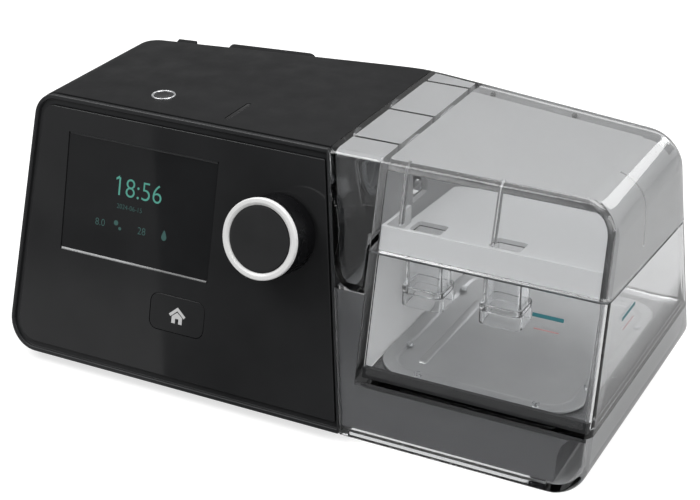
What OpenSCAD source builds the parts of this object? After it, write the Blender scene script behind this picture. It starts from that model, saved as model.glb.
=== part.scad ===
// Bedside breathing machine: a black main unit on the left, and on the right a clear
// water chamber that slides off a heated platform. Millimetres, +Z up, front towards -Y.
// The origin is on the surface it stands on, under the middle of its width and depth.

/* [Body] */
// Width over both ends
body_w = 265; // [262:1:268]
// Height of the housing above its feet
body_h = 108.9; // [107:0.1:110]
// How far the front face leans back, in degrees
lean = 14.7; // [14:0.1:15.5]
// Front edge along the bottom
front_edge_y = -69.5; // [-70:0.1:-69]
// Rear edge along the bottom, at the ridge
rear_low = 70; // [69:0.1:71]
// Rear edge along the top, at the ridge
rear_top = 57.2; // [56:0.1:58]
// Wall of the black casing
wall = 2.5; // [2:0.1:3]

/* [Front] */
// Width of the raised lip round the front
lip_w = 1.9; // [1.5:0.1:2.2]
// Width of the dark groove inside the lip
groove_w = 2.3; // [1.8:0.1:2.5]
// Screen, left edge
screen_x0 = -108.7; // [-110:0.1:-107]
// Screen width, 3:2 like its height
screen_w = 72.7; // [70:0.1:74]
// Screen, lower edge, measured up the front
screen_s0 = 48.3; // [47:0.1:49]
// Screen height
screen_h = 49.8; // [48:0.1:50]
// Knob centre across the width
knob_x = -4.7; // [-6:0.1:-4]
// Knob centre, measured up the front
knob_s = 75.8; // [74:0.1:77]
// Knob radius
knob_r = 16.25; // [15:0.05:17]
// Knob height over the panel
knob_h = 18.6; // [17:0.1:20]
// Home button centre across the width
home_x = -48.85; // [-50:0.05:-48]
// Home button centre, measured up the front
home_s = 31.6; // [31:0.1:32]
// Home button width
home_w = 26.4; // [25:0.1:27]
// Home button height
home_h = 15.8; // [15:0.1:16]

/* [Top] */
// Start button centre across the width
start_x = -76; // [-78:0.5:-74]
// Start button centre along the depth
start_y = -21.6; // [-23:0.1:-20]
// Outer radius of the ring round the start button
start_ring_r = 5.1; // [4.8:0.1:5.5]

/* [Chamber] */
// Wall of the clear mouldings
clear_wall = 2.4; // [2:0.1:2.6]
// Inner face of the chamber's left wall
tub_x = 34; // [33.5:0.1:34.5]
// Height of the split between chamber and lid, at the front
split_z = 78.5; // [78:0.1:79]
// Fall of the split towards the rear, in degrees
split_fall = 3.6; // [3.4:0.1:4]
// Top of the chamber floor
floor_z = 28.8; // [28:0.1:29]

/* [Hose outlet] */
// Outer radius of the hose outlet
outlet_r = 11; // [10.9:0.05:11.2]
// Bore radius of the hose outlet
outlet_bore_r = 9; // [8.5:0.1:9.3]

/* [Feet] */
// Height of the rubber feet
foot_h = 5; // [4.5:0.1:5.5]

/* [Hidden] */
$fn = 48;

top_z = foot_h + body_h;
reach = 400;             // larger than the whole machine
gap = 0.4;               // clearance between the clear mouldings and the casing
fit = 0.15;              // clearance round pieces let into a panel

// ---- the housing's outline seen from the front, x and z, anticlockwise ----
left_lean_x = 6.1;       // the left end leans in by this much over its height
right_lean_x = 2.2;
low_left_r = 13.5;
low_right_r = 12;
top_right_r = 14;
top_left_r = 9.5;
CORNERS = [[-body_w / 2, foot_h], [body_w / 2, foot_h],
    [body_w / 2 - right_lean_x, top_z], [-body_w / 2 + left_lean_x, top_z]];
CORNER_R = [low_left_r, low_right_r, top_right_r, top_left_r];
arc_steps = 10;

function unit2(v) = v / norm(v);
function inward(a, b) = let (d = unit2(b - a)) [-d.y, d.x];
// A corner moved in by d from both of its edges
function moved_in(a, p, b, d) =
    let (n1 = inward(a, p), n2 = inward(p, b)) p + d * (n1 + n2) / (1 + n1 * n2);
// The arc that rounds corner p between its neighbours a and b
function corner_arc(a, p, b, r) =
    let (u = unit2(a - p), v = unit2(b - p), half = acos(u * v) / 2,
         c = p + unit2(u + v) * r / sin(half), t = p + u * r / tan(half) - c,
         a0 = atan2(t.y, t.x), sweep = 180 - 2 * half)
    [for (i = [0:arc_steps]) c + r * [cos(a0 + sweep * i / arc_steps), sin(a0 + sweep * i / arc_steps)]];
function outline(d) =
    let (q = [for (i = [0:3]) moved_in(CORNERS[(i + 3) % 4], CORNERS[i], CORNERS[(i + 1) % 4], d)])
    [for (i = [0:3]) each corner_arc(q[(i + 3) % 4], q[i], q[(i + 1) % 4], max(CORNER_R[i] - d, 0.5))];

// ---- front and rear faces ----
ridge_x = 8;             // the rear face is a shallow roof in plan, with its ridge here
ridge_soft = 6;
low_fall = 0.033;        // fall of the roof along the bottom, per mm of width
top_fall_left = 0.163;
top_fall_right = 0.196;
station_step = 14;        // spacing of the sections the rear face is made from
STATIONS = [for (i = [-11:10]) ridge_x + i * station_step];

function front_y(z) = front_edge_y + (z - foot_h) * tan(lean);
function roof(x) = sqrt(pow(x - ridge_x, 2) + pow(ridge_soft, 2)) - ridge_soft;
function low_y(x) = rear_low - low_fall * roof(x);
function top_y(x) = rear_top - (x < ridge_x ? top_fall_left : top_fall_right) * roof(x);
function rear_y(x, z) = let (t = (z - foot_h) / body_h) low_y(x) * (1 - t) + top_y(x) * t;

// Everything between the leaning front and the roofed rear, each moved in by its own amount
module slab(df, dr) {
    z0 = -2;
    z1 = top_z + 3;
    n = len(STATIONS);
    f = df / cos(lean);
    points = [for (x = STATIONS) each [[x, front_y(z0) + f, z0], [x, front_y(z1) + f, z1],
        [x, rear_y(x, z1) - dr, z1], [x, rear_y(x, z0) - dr, z0]]];
    faces = [for (i = [0:n - 2]) let (a = 4 * i, b = 4 * i + 4) each [
        [a, b, b + 1, a + 1], [a + 1, b + 1, b + 2, a + 2], [b, a, a + 3, b + 3],
        [a + 3, a + 2, b + 2], [a + 3, b + 2, b + 3]]];
    ends = [[0, 1, 2, 3], [4 * n - 1, 4 * n - 2, 4 * n - 3, 4 * n - 4]];
    polyhedron(points, [for (f = concat(faces, ends)) [for (k = [len(f) - 1:-1:0]) f[k]]]);
}
module prism(d) rotate([90, 0, 0]) linear_extrude(reach, center = true) polygon(outline(d));
module envelope(d, dr = -1) intersection() {
    prism(d);
    slab(d, dr < 0 ? d : dr);
}
// A box given by its low and high corners
module span(a, b) translate(a) cube(b - a);

// ---- the slanted boundary between the black unit and the clear chamber ----
side_low_x = 30.1;       // boundary at the bottom
side_top_x = 11.3;       // boundary at the top
side_tilt = atan((side_low_x - side_top_x) / body_h);
function side_x(z) = side_low_x - (z - foot_h) * tan(side_tilt);
module right_of(g) translate([side_low_x + g, -reach / 2, foot_h]) rotate([0, -side_tilt, 0])
    translate([0, 0, -reach / 2]) cube(reach);
module left_of(g) translate([side_low_x - g, -reach / 2, foot_h]) rotate([0, -side_tilt, 0])
    translate([-reach, 0, -reach / 2]) cube(reach);
// Local z along the boundary's normal, at a point on it
module on_side(y, z, n = 0) translate([side_x(z), y, z]) rotate([0, 90 - side_tilt, 0])
    translate([0, 0, n]) children();

// ---- the split between chamber and lid ----
split_y = -50;
function split_at(y) = split_z - (y - split_y) * tan(split_fall);
module above_split(g) translate([-reach / 2, split_y, split_z + g]) rotate([-split_fall, 0, 0])
    translate([0, -reach / 2, 0]) cube(reach);
module below_split(g) translate([-reach / 2, split_y, split_z - g]) rotate([-split_fall, 0, 0])
    translate([0, -reach / 2, -reach]) cube(reach);

// ---- local frames ----
// On the front: x across, y up the slope, z out of the face
module on_front(x = 0, s = 0, n = 0) translate([0, front_edge_y, foot_h])
    rotate([90 - lean, 0, 0]) translate([x, s, n]) children();
module near_front(n0, n1) on_front(-reach / 2, -30, n0) cube([reach, 200, n1 - n0]);
// On the left rear face: z out of it, y up it
rear_yaw = 7.4;
rear_lean = 11.3;
module on_rear(x, z) translate([x, rear_y(x, z), z]) rotate([0, 0, 180 + rear_yaw])
    rotate([90 - rear_lean, 0, 0]) children();

module rounded(w, h, r) {
    square([w - 2 * r, h], center = true);
    square([w, h - 2 * r], center = true);
    for (x = [-1, 1], y = [-1, 1]) translate([x * (w / 2 - r), y * (h / 2 - r)]) circle(r);
}
module plate(w, h, r, t) linear_extrude(t) rounded(w, h, r);
module ring(r_out, r_in, t) difference() {
    cylinder(r = r_out, h = t);
    translate([0, 0, -1]) cylinder(r = r_in, h = t + 2);
}

// ---- main unit: housing ----
frame_t = 2.4;           // depth of the front frame's visible lip
panel_t = 2.6;
filter_x = -65;
filter_z = 87;
filter_w = 42;
filter_h = 50;
door_x = -104;
door_z = 99;
door_w = 15;
door_h = 26;
door_pin_s = 10.6;        // hinge pin over the door's middle
door_pin_n = -1.2;        // hinge pin, inside the casing's wall
door_pin_r = 0.8;
door_pin_l = 19;
outlet_x = -20;
outlet_z = 78;
inlet_x = 2;
inlet_z = 19;
sensor_x = -39.3;
sensor_y = -23;
sensor_w = 1.8;
sensor_l = 19;
port_z = 94;
PORT_Y = [-8, 26];
port_r = 9;

module main_casing() color("#26272a") difference() {
    union() {
        intersection() {
            envelope(0);
            left_of(0);
            near_front(-reach / 2, -frame_t);
        }
        on_rear(door_x, door_z) translate([-4.6, door_h / 2 + 0.2, -1]) cube([9.2, 1.6, 2.8]);
    }
    intersection() {
        prism(wall);
        slab(-5, wall);
        left_of(-5);
    }
    intersection() {
        slab(-5, 5.2);
        span([-118, -80, -1], [60, 80, foot_h + 4]);
    }
    translate([start_x, start_y, top_z - 6]) cylinder(r = start_ring_r + 0.05, h = 12);
    translate([sensor_x, sensor_y, top_z - 6]) linear_extrude(12)
        rounded(sensor_w + 2 * fit, sensor_l + 2 * fit, sensor_w / 2);
    on_rear(filter_x, filter_z) translate([0, 0, -8]) plate(filter_w - 6, filter_h - 8, 3, 16);
    on_rear(filter_x, filter_z) translate([0, 1, -0.6]) plate(filter_w + 0.8, filter_h + 0.8, 3.4, 16);
    on_rear(door_x, door_z) translate([0, -1, -8]) plate(door_w + 0.8, door_h + 0.8, 0.6, 16);
    on_rear(door_x, door_z) translate([-door_pin_l / 2, door_pin_s, door_pin_n])
        rotate([0, 90, 0]) cylinder(r = door_pin_r, h = door_pin_l);
    translate([outlet_x, 40, outlet_z]) rotate([-90, 0, 0]) cylinder(r = outlet_r + 0.3, h = 40);
    translate([inlet_x, 50, inlet_z]) rotate([-90, 0, 0]) cylinder(r = 5.2, h = 40);
}

pan_z = foot_h + 0.2;
SCREW_XY = [[-108, 36], [-108, -42], [-24, 52], [-24, -52], [60, 44], [60, -44]];
screw_head_r = 2.9;
BLOWER = [-58, 6];
mount_ring = 27;
function mount_at(i) = BLOWER + mount_ring * [cos(90 + 120 * i), sin(90 + 120 * i)];

module base_pan() color("#1b1c1e") difference() {
    union() {
        intersection() {
            slab(5.2, 5.6);
            span([-117.6, -80, pan_z], [116, 80, pan_z + 1.3]);
        }
        intersection() {
            slab(10, 12);
            span([-78, -80, foot_h - 1.2], [80, 80, pan_z]);
        }
        for (p = SCREW_XY) translate([p.x, p.y, pan_z]) cylinder(r = 4.6, h = 6);
        for (i = [0:2]) translate([mount_at(i).x, mount_at(i).y, pan_z]) cylinder(r = 4.5, h = 3);
    }
    for (p = SCREW_XY) translate([p.x, p.y, 0]) {
        cylinder(r = screw_head_r + 0.2, h = pan_z + 3.2);
        cylinder(r = 1.7, h = 30);
    }
}

module base_screws() color("#9a9ca0") for (p = SCREW_XY) translate([p.x, p.y, 0]) difference() {
    union() {
        translate([0, 0, pan_z + 1]) cylinder(r = screw_head_r, h = 2.2);
        translate([0, 0, pan_z + 3.2]) cylinder(r = 1.5, h = 6.5);
    }
    for (a = [0, 90]) rotate(a) translate([-1.7, -0.35, pan_z]) cube([3.4, 0.7, 2]);
}

foot_x = 96;
foot_w = 24;
foot_d = 9;
module feet() color("#151515") for (x = [-foot_x, foot_x], y = [-52.5, 50])
    translate([x, y, 0]) plate(foot_w, foot_d, 3, pan_z);

groove_deep = 1.4;
module front_frame() color("#3a3b3e") difference() {
    union() {
        difference() {
            intersection() {
                envelope(0);
                near_front(-frame_t, 0.01);
                left_of(0);
            }
            intersection() {
                prism(lip_w);
                left_of(0.8);
                near_front(-groove_deep, 5);
            }
            intersection() {
                prism(lip_w + groove_w + 0.1);
                left_of(1.1);
            }
        }
        difference() {
            intersection() {
                prism(wall + 0.1);
                near_front(-panel_t - 1.8, -frame_t);
                left_of(0.2);
            }
            intersection() {
                prism(lip_w + groove_w + 1.6);
                left_of(3);
            }
        }
    }
    intersection() {
        prism(lip_w + groove_w + 0.1);
        left_of(1.1);
        near_front(-panel_t - 0.02, 5);
    }
}

home_r = 4;
module front_panel() color("#131416") difference() {
    intersection() {
        prism(lip_w + groove_w + 0.2);
        near_front(-panel_t, 0);
        left_of(1.2);
    }
    on_front(screen_x0, screen_s0, -5) cube([screen_w, screen_h, 10]);
    on_front(home_x, home_s, -5) plate(home_w, home_h, home_r, 10);
    on_front(knob_x, knob_s, -5) cylinder(r = 3.6, h = 10);
}

module display_window() color("#0c0d10")
    on_front(screen_x0 + fit, screen_s0 + fit, -1.5) cube([screen_w - 2 * fit, screen_h - 2 * fit, 1.2]);

module display_module() color("#202a30") {
    on_front(screen_x0 + 0.5, screen_s0 + 0.5, -5.4)
        cube([screen_w - 1, screen_h - 1, 3.7]);
}

board_n = -9.2;
board_t = 1.6;
module control_board() color("#1f5a36") {
    on_front(-110, 14, board_n) cube([118, 90, board_t]);
    for (x = [-96, -84, -20], s = [22, 36]) on_front(x, s, board_n - 1.8) cube([7, 7, 1.8]);
    on_front(-60, 60, board_n - 2.4) cube([14, 14, 2.4]);
}

shaft_r = 3;
encoder_w = 12.5;
module encoder() color("#8f9094") on_front(knob_x, knob_s, board_n + board_t) difference() {
    translate([-encoder_w / 2, -encoder_w / 2, 0]) cube([encoder_w, encoder_w, 4.8]);
    translate([0, 0, -1]) cylinder(r = shaft_r + 0.05, h = 8);
}

module home_switch() color("#c9ccd0") on_front(home_x, home_s, board_n + board_t) {
    translate([-3, -3, 0]) cube([6, 6, 0.8]);
    cylinder(r = 1.6, h = 1.2);
}

module button_board() color("#1f5a36") translate([start_x, start_y, 0]) {
    translate([-12, -7, top_z - 12.4]) cube([24, 14, 1.6]);
    for (x = [-9.5, 9.5]) translate([x, 0, top_z - 10.8]) cylinder(r = 2, h = 10.8 - wall);
}

module start_switch() color("#c9ccd0") translate([start_x, start_y, top_z - 10.8]) {
    translate([-3, -3, 0]) cube([6, 6, 2.4]);
    cylinder(r = 1.6, h = 3.4);
}

start_cap_r = 4;
module start_ring() color("#c8cacd") translate([start_x, start_y, top_z - 1.8])
    ring(start_ring_r, start_cap_r + 0.2, 2.3);

module start_button() color("#222326") translate([start_x, start_y, 0]) {
    translate([0, 0, top_z - 1.6]) cylinder(r = start_cap_r, h = 1.8);
    translate([0, 0, top_z - 6.3]) cylinder(r = 1.6, h = 5);
}

module sensor_strip() color("#08090a") translate([sensor_x, sensor_y, top_z - 2])
    linear_extrude(1.9) rounded(sensor_w, sensor_l, sensor_w / 2 - 0.05);

// ---- dock side ----
module dock_wall() color("#1d1e20") difference() {
    intersection() {
        envelope(wall + 0.1);
        left_of(0);
        right_of(-2.4);
        near_front(-reach, -panel_t - 1.9);
        span([-reach, -reach, foot_h + 7], [reach, reach, reach]);
    }
    for (y = PORT_Y) on_side(y, port_z, -5) cylinder(r = port_r + 2.5, h = 10);
}

module dock_seals() color("#3b3d40") for (y = PORT_Y) on_side(y, port_z, -2.2)
    ring(port_r + 2.4, port_r, 2.4);

// ---- heated platform under the chamber ----
platform_top = 26;
platform_low = foot_h + 2.6;
dock_x = 33.4;
dock_top = 61.2;
dock_rear_top = 71;
skirt_gap = 0.8;
plate_x0 = 37;
plate_x1 = 123;
plate_y0 = -55.4;
plate_y1 = 46.6;
plate_r = 16;
flare_x = 119.5;
flare_r = 8.5;
// Rounded rectangle of the heating plates, moved in by d
module plate_outline(d) translate([(plate_x0 + plate_x1) / 2, (plate_y0 + plate_y1) / 2])
    rounded(plate_x1 - plate_x0 - 2 * d, plate_y1 - plate_y0 - 2 * d, plate_r - d);

module platform_side() rotate([90, 0, 0]) linear_extrude(reach, center = true) difference() {
    polygon([[side_x(platform_low) + 0.2, platform_low], [flare_x, platform_low],
        [flare_x, platform_top - flare_r], [flare_x + flare_r, platform_top],
        [side_x(platform_top) + 0.2, platform_top]]);
    translate([flare_x + flare_r, platform_top - flare_r]) circle(flare_r);
}

module heater_platform() color("#4a4c50") difference() {
    union() {
        intersection() {
            slab(clear_wall + skirt_gap, clear_wall + skirt_gap);
            platform_side();
        }
        intersection() {
            slab(clear_wall + skirt_gap, clear_wall + skirt_gap);
            right_of(0.2);
            union() {
                span([0, -90, platform_low], [dock_x, 90, dock_top]);
                span([0, 18, platform_low], [dock_x, 90, dock_rear_top]);
            }
        }
    }
    intersection() {
        slab(clear_wall + skirt_gap + 4, clear_wall + skirt_gap + 4);
        span([dock_x, -90, -1], [flare_x - 2.4, 90, platform_top - 2.4]);
    }
    intersection() {
        slab(clear_wall + skirt_gap + 2.4, clear_wall + skirt_gap + 2.4);
        right_of(2.2);
        union() {
            span([0, -90, -1], [dock_x - 2.4, 90, dock_top - 2.4]);
            span([0, 20.4, -1], [dock_x - 2.4, 90, dock_rear_top - 2.4]);
        }
    }
    difference() {
        span([dock_x, -90, 24.6], [reach, 90, 40]);
        slab(clear_wall + 4.2, clear_wall + 4.2);
    }
    translate([0, 0, 10]) linear_extrude(40) plate_outline(6.9);
}

module heater_plate() color("#b9bcc0") {
    translate([0, 0, 23.4]) linear_extrude(3) plate_outline(7.2);
}
module heater_pad() color("#b5702c") translate([0, 0, 21.8]) linear_extrude(1.5) plate_outline(10);

// ---- air path ----
DUCT_X = [-14, 8];
blower_z = 18;
volute_r = 37;
volute_h = 28;
nozzle_y = BLOWER.y - 15;
nozzle_z = blower_z + 13;
module supply_duct() color("#6b6d70") difference() {
    union() {
        span([DUCT_X[0], -22, 20], [DUCT_X[1], 4, 106]);
        intersection() {
            on_side(PORT_Y[0], port_z, -16) cylinder(r = port_r + 1.6, h = 16 - 2.6);
            span([0, -40, 60], [40, 40, 106]);
        }
    }
    span([DUCT_X[0] + 1.6, -20.4, 21.6], [DUCT_X[1] - 1.6, 2.4, 104.4]);
    on_side(PORT_Y[0], port_z, -18) cylinder(r = port_r, h = 30);
    translate([-30, nozzle_y, nozzle_z]) rotate([0, 90, 0]) cylinder(r = 8.2, h = 20);
}

module return_duct() color("#6b6d70") difference() {
    union() {
        span([-32, 12, 66], [8, 38, 106]);
        intersection() {
            on_side(PORT_Y[1], port_z, -16) cylinder(r = port_r + 1.6, h = 16 - 2.6);
            span([0, 0, 60], [40, 60, 106]);
        }
    }
    span([-30.4, 13.6, 67.6], [6.4, 36.4, 104.4]);
    on_side(PORT_Y[1], port_z, -18) cylinder(r = port_r, h = 30);
    translate([outlet_x, 30, outlet_z]) rotate([-90, 0, 0]) cylinder(r = outlet_bore_r, h = 20);
}

outlet_end_y = 72.5;
outlet_pin_l = 10;       // the stretch a hose cuff is pushed over
outlet_root_y = 38;
module air_outlet() color("#2c2d30") translate([outlet_x, 0, outlet_z]) rotate([-90, 0, 0]) difference() {
    union() {
        translate([0, 0, outlet_end_y - outlet_pin_l]) cylinder(r = outlet_r, h = outlet_pin_l);
        translate([0, 0, outlet_root_y])
            cylinder(r = outlet_r - 0.6, h = outlet_end_y - outlet_root_y - 1);
        translate([0, 0, outlet_root_y]) cylinder(r = outlet_r + 3, h = 3);
    }
    translate([0, 0, 30]) cylinder(r = outlet_bore_r, h = 60);
}

module intake_box() color("#55585c") difference() {
    span([-88, -10, 56], [-42, 38, 108]);
    span([-86, -8, 58], [-44, 36, 106]);
    translate([BLOWER.x, BLOWER.y, 50]) cylinder(r = 12, h = 10);
    on_rear(filter_x, filter_z) translate([0, 0, -30]) plate(30, 34, 3, 28);
}
module silencer_foam() color("#777a6e") difference() {
    span([-85.5, -7.5, 76], [-44.5, 22, 105.5]);
    translate([BLOWER.x, BLOWER.y, 70]) cylinder(r = 9, h = 40);
}

module blower_housing() color("#d9dadc") translate([BLOWER.x, BLOWER.y, blower_z]) difference() {
    union() {
        cylinder(r = volute_r, h = volute_h);
        translate([0, nozzle_y - BLOWER.y, nozzle_z - blower_z]) rotate([0, 90, 0])
            cylinder(r = 10, h = 43.5);
    }
    translate([0, 0, 10]) cylinder(r = volute_r - 2, h = volute_h);
    translate([0, 0, 2]) cylinder(r = 16, h = 20);
    translate([10, nozzle_y - BLOWER.y, nozzle_z - blower_z]) rotate([0, 90, 0])
        cylinder(r = 8.2, h = 50);
}
module blower_cover() color("#e4e5e6") translate([BLOWER.x, BLOWER.y, blower_z + volute_h]) difference() {
    union() {
        cylinder(r = volute_r, h = 2.4);
        cylinder(r = 13.6, h = 6);
    }
    translate([0, 0, -1]) cylinder(r = 11.6, h = 10);
}
module blower_mounts() color("#7f8487") for (i = [0:2])
    translate([mount_at(i).x, mount_at(i).y, pan_z + 3]) difference() {
        cylinder(r = 4.5, h = blower_z - pan_z - 3);
        translate([0, 0, 4]) ring(6, 3.2, 2);
    }

axle_r = 1.5;
module motor_stator() color("#a4642c") translate([BLOWER.x, BLOWER.y, blower_z + 2]) difference() {
    union() {
        cylinder(r = 11, h = 2);
        cylinder(r = 4, h = 9);
        for (i = [0:8]) rotate(40 * i) translate([3, -1.1, 0]) cube([7.5, 2.2, 8]);
    }
    translate([0, 0, -1]) cylinder(r = axle_r + 0.05, h = 20);
}
module motor_rotor() color("#8b8e92") translate([BLOWER.x, BLOWER.y, blower_z + 2.4]) {
    cylinder(r = axle_r, h = 23.6);
    difference() {
        translate([0, 0, 3]) cylinder(r = 13.4, h = 9);
        translate([0, 0, 2]) cylinder(r = 11.6, h = 9);
    }
}
blades = 11;
module impeller() color("#f0f0ee") translate([BLOWER.x, BLOWER.y, blower_z + 14.8]) difference() {
    union() {
        cylinder(r = 27, h = 1.4);
        cylinder(r = 4.5, h = 9);
        for (i = [0:blades - 1]) rotate(360 / blades * i) translate([9, 0, 0]) rotate(-32)
            translate([0, -0.6, 1]) cube([18, 1.2, 8.4]);
    }
    translate([0, 0, -1]) cylinder(r = axle_r, h = 20);
}

// ---- boards and sockets ----
module main_board() color("#1f5a36") {
    span([-12, -48, 12.5], [22, 44, 14.1]);
    for (y = [-40, -30]) translate([16, y, 14.1]) cylinder(r = 4, h = 12);
    span([-10, -40, 14.1], [-2, -24, 19.5]);
    span([-10, 10, 14.1], [4, 24, 16]);
    for (x = [-8, 18], y = [-44, 40]) translate([x, y, pan_z + 1.3]) cylinder(r = 2.6, h = 6.2);
}
module power_inlet() color("#0f1011") translate([inlet_x, 0, inlet_z]) difference() {
    union() {
        span([-6, 44.2, -6], [6, 62, 6]);
        translate([0, 62, 0]) rotate([-90, 0, 0]) cylinder(r = 5, h = 5);
    }
    translate([0, 50, 0]) rotate([-90, 0, 0]) cylinder(r = 3.2, h = 40);
}

card_w = 24.6;
module card_reader() color("#a9adb1") on_rear(door_x, door_z) translate([0, -1, 0]) difference() {
    translate([-3, -card_w / 2 - 0.9, -36]) cube([6, card_w + 1.8, 31]);
    translate([-1.3, -card_w / 2, -33]) cube([2.6, card_w, 40]);
}
module air_filter() color("#c8cbcd") on_rear(filter_x, filter_z) translate([0, 0, -3.4])
    plate(filter_w - 8, filter_h - 10, 2.5, 3);

// Cover over the filter, proud of the rear face, with slots in it
module filter_cover() color("#242528") on_rear(filter_x, filter_z) difference() {
    translate([0, 1, -0.4]) plate(filter_w, filter_h, 3, 5.3);
    translate([0, 0, -1]) plate(filter_w - 8, filter_h - 10, 2, 3.6);
    for (i = [-4:4]) translate([-14, i * 4.2 - 0.9, 0]) cube([28, 1.8, 8]);
}

module card_door() color("#26272a") on_rear(door_x, door_z) difference() {
    union() {
        translate([0, -1, -1.9]) plate(door_w, door_h, 1.6, 2.2);
        translate([-door_w / 2 + 1.2, door_pin_s, door_pin_n]) rotate([0, 90, 0])
            cylinder(r = 1.5, h = door_w - 2.4);
        translate([-3.5, -door_h / 2 - 0.4, 0.2]) cube([7, 2, 1.3]);
    }
    // upper edge, round about the pin so that it turns inside the opening
    difference() {
        translate([-20, door_pin_s, -4]) cube([40, 6, 8]);
        translate([-21, door_pin_s, door_pin_n]) rotate([0, 90, 0]) cylinder(r = 1.65, h = 42);
    }
    translate([-20, door_pin_s, door_pin_n]) rotate([0, 90, 0])
        cylinder(r = door_pin_r + 0.05, h = 40);
}
module card_door_pin() color("#9a9ca0") on_rear(door_x, door_z)
    translate([-door_pin_l / 2, door_pin_s, door_pin_n]) rotate([0, 90, 0])
        cylinder(r = door_pin_r, h = door_pin_l);

// ---- knob ----
knob_gap = 1.6;
module knob_plunger() color("#55585c") on_front(knob_x, knob_s, -6.4) cylinder(r = 2.8, h = 0.8);
module knob_shaft() color("#b4b7ba") on_front(knob_x, knob_s, -5.5) cylinder(r = shaft_r, h = 19.5);
module knob_cap() color("#0e0f10") on_front(knob_x, knob_s, knob_gap) difference() {
    union() {
        difference() {
            cylinder(r = knob_r, h = knob_h - knob_gap - 0.6);
            translate([0, 0, -1]) cylinder(r = knob_r - 2.2, h = knob_h - knob_gap - 3);
        }
        cylinder(r = 5.4, h = knob_h - knob_gap - 3);
    }
    translate([0, 0, -1]) cylinder(r = shaft_r, h = 13.5);
    translate([0, 0, knob_h - knob_gap - 2]) ring(knob_r + 1, knob_r - 2.9, 4);
}
module knob_ring() color("#f4f4f2") on_front(knob_x, knob_s, knob_h - 2)
    ring(knob_r, knob_r - 2.9, 2);
module knob_face() color("#232427") on_front(knob_x, knob_s, knob_h - 0.6)
    cylinder(r = knob_r - 3.1, h = 0.4);

module home_button() color("#17181a") {
    on_front(home_x, home_s, -2.3) plate(home_w - 0.5, home_h - 0.5, home_r - 0.25, 2.3);
    on_front(home_x, home_s, -5.5) cylinder(r = 2, h = 3.4);
}

// ---- chamber ----
tub_end = tub_x + clear_wall;
tub_floor_low = floor_z - 1.9;
lip_end_x = 117;
front_lip_top = foot_h + 1.5;

// The hinge runs along the rear wall at the split, a little outside it
hinge_out = 3;
HINGE_A = [44, rear_y(44, split_at(56)) + hinge_out];
HINGE_B = [122, rear_y(122, split_at(46)) + hinge_out];
hinge_yaw = atan2(HINGE_B.y - HINGE_A.y, HINGE_B.x - HINGE_A.x);
hinge_z = split_at((HINGE_A.y + HINGE_B.y) / 2);
hinge_len = norm(HINGE_B - HINGE_A);
pin_r = 1.25;
knuckle_r = 2.6;
HINGE_U = [14, hinge_len - 14];
// Local x along the hinge, from its left end
module on_hinge(u) translate([HINGE_A.x, HINGE_A.y, hinge_z]) rotate([0, 0, hinge_yaw])
    translate([u, 0, 0]) children();
module knuckle(u0, u1, dz) difference() {
    union() {
        on_hinge(u0) rotate([0, 90, 0]) cylinder(r = knuckle_r, h = u1 - u0);
        on_hinge(u0) translate([0, -hinge_out - 1.2, dz > 0 ? 1 : -3.4])
            cube([u1 - u0, hinge_out + 1.2, 2.4]);
    }
    on_hinge(u0 - 1) rotate([0, 90, 0]) cylinder(r = pin_r + 0.06, h = u1 - u0 + 2);
}

module clear_body() intersection() {
    envelope(0);
    right_of(gap);
}
module tank_shell() color([0.85, 0.88, 0.9, 0.4]) {
    difference() {
        intersection() {
            clear_body();
            below_split(0.4);
            union() {
                span([tub_x, -reach, -5], [reach, reach, reach]);
                span([-reach, -reach, -5], [reach, 14, dock_top + 0.5]);
                span([-reach, 14, -5], [reach, reach, reach]);
            }
        }
        // water space
        intersection() {
            envelope(clear_wall);
            span([tub_end, -reach, floor_z], [reach, reach, reach]);
        }
        // room for the platform under the floor
        intersection() {
            envelope(clear_wall);
            span([-reach, -reach, 0], [reach, reach, tub_floor_low]);
        }
        intersection() {
            slab(clear_wall, clear_wall);
            span([-reach, -reach, front_lip_top], [lip_end_x, reach, 12]);
        }
        intersection() {
            slab(clear_wall + 2.6, clear_wall + 2.6);
            span([-reach, -reach, 0], [lip_end_x, reach, 12]);
        }
        // room for the dock left of the chamber
        intersection() {
            slab(clear_wall, clear_wall);
            span([-reach, -reach, 0], [tub_x, reach, reach]);
        }
        translate([0, 0, 20]) linear_extrude(20) plate_outline(4);
    }
    for (u = HINGE_U, side = [-1, 1]) knuckle(u + side * 6.2 - 2, u + side * 6.2 + 2, -1);
}

module base_frame() color("#17181a") difference() {
    intersection() {
        slab(clear_wall + 0.1, clear_wall + 0.1);
        span([tub_end + 0.1, -90, platform_top - 0.5], [129.4, -30, floor_z + 4.1]);
        envelope(clear_wall + 0.1);
    }
    slab(clear_wall + 1.7, clear_wall + 1.7);
    span([0, -90, tub_floor_low - 0.05], [reach, 0, floor_z + 0.05]);
}

module tank_plate() color("#9fa3a8") difference() {
    union() {
        translate([0, 0, floor_z + 0.5]) linear_extrude(0.9) plate_outline(0);
        translate([0, 0, 26.6]) linear_extrude(3) plate_outline(4.4);
    }
    translate([0, 0, floor_z + 0.6]) linear_extrude(5) plate_outline(5.6);
}
module plate_seal() color("#2a2b2d") translate([0, 0, floor_z]) linear_extrude(0.5) difference() {
    plate_outline(0.6);
    plate_outline(4);
}
STAKES = [[43.7, -31.4], [56.6, -52], [106, -52], [119.6, -31.4],
    [43.7, 22.6], [56.6, 43.4], [106, 43.4], [119.6, 22.6]];
module plate_stakes() color("#c4c8cb") for (p = STAKES)
    translate([p.x, p.y, floor_z + 1.4]) cylinder(r = 1.5, h = 0.8);

module hinge_pins() color("#c0c2c5") for (u = HINGE_U) on_hinge(u - 8.2)
    rotate([0, 90, 0]) cylinder(r = pin_r, h = 16.4);

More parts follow.
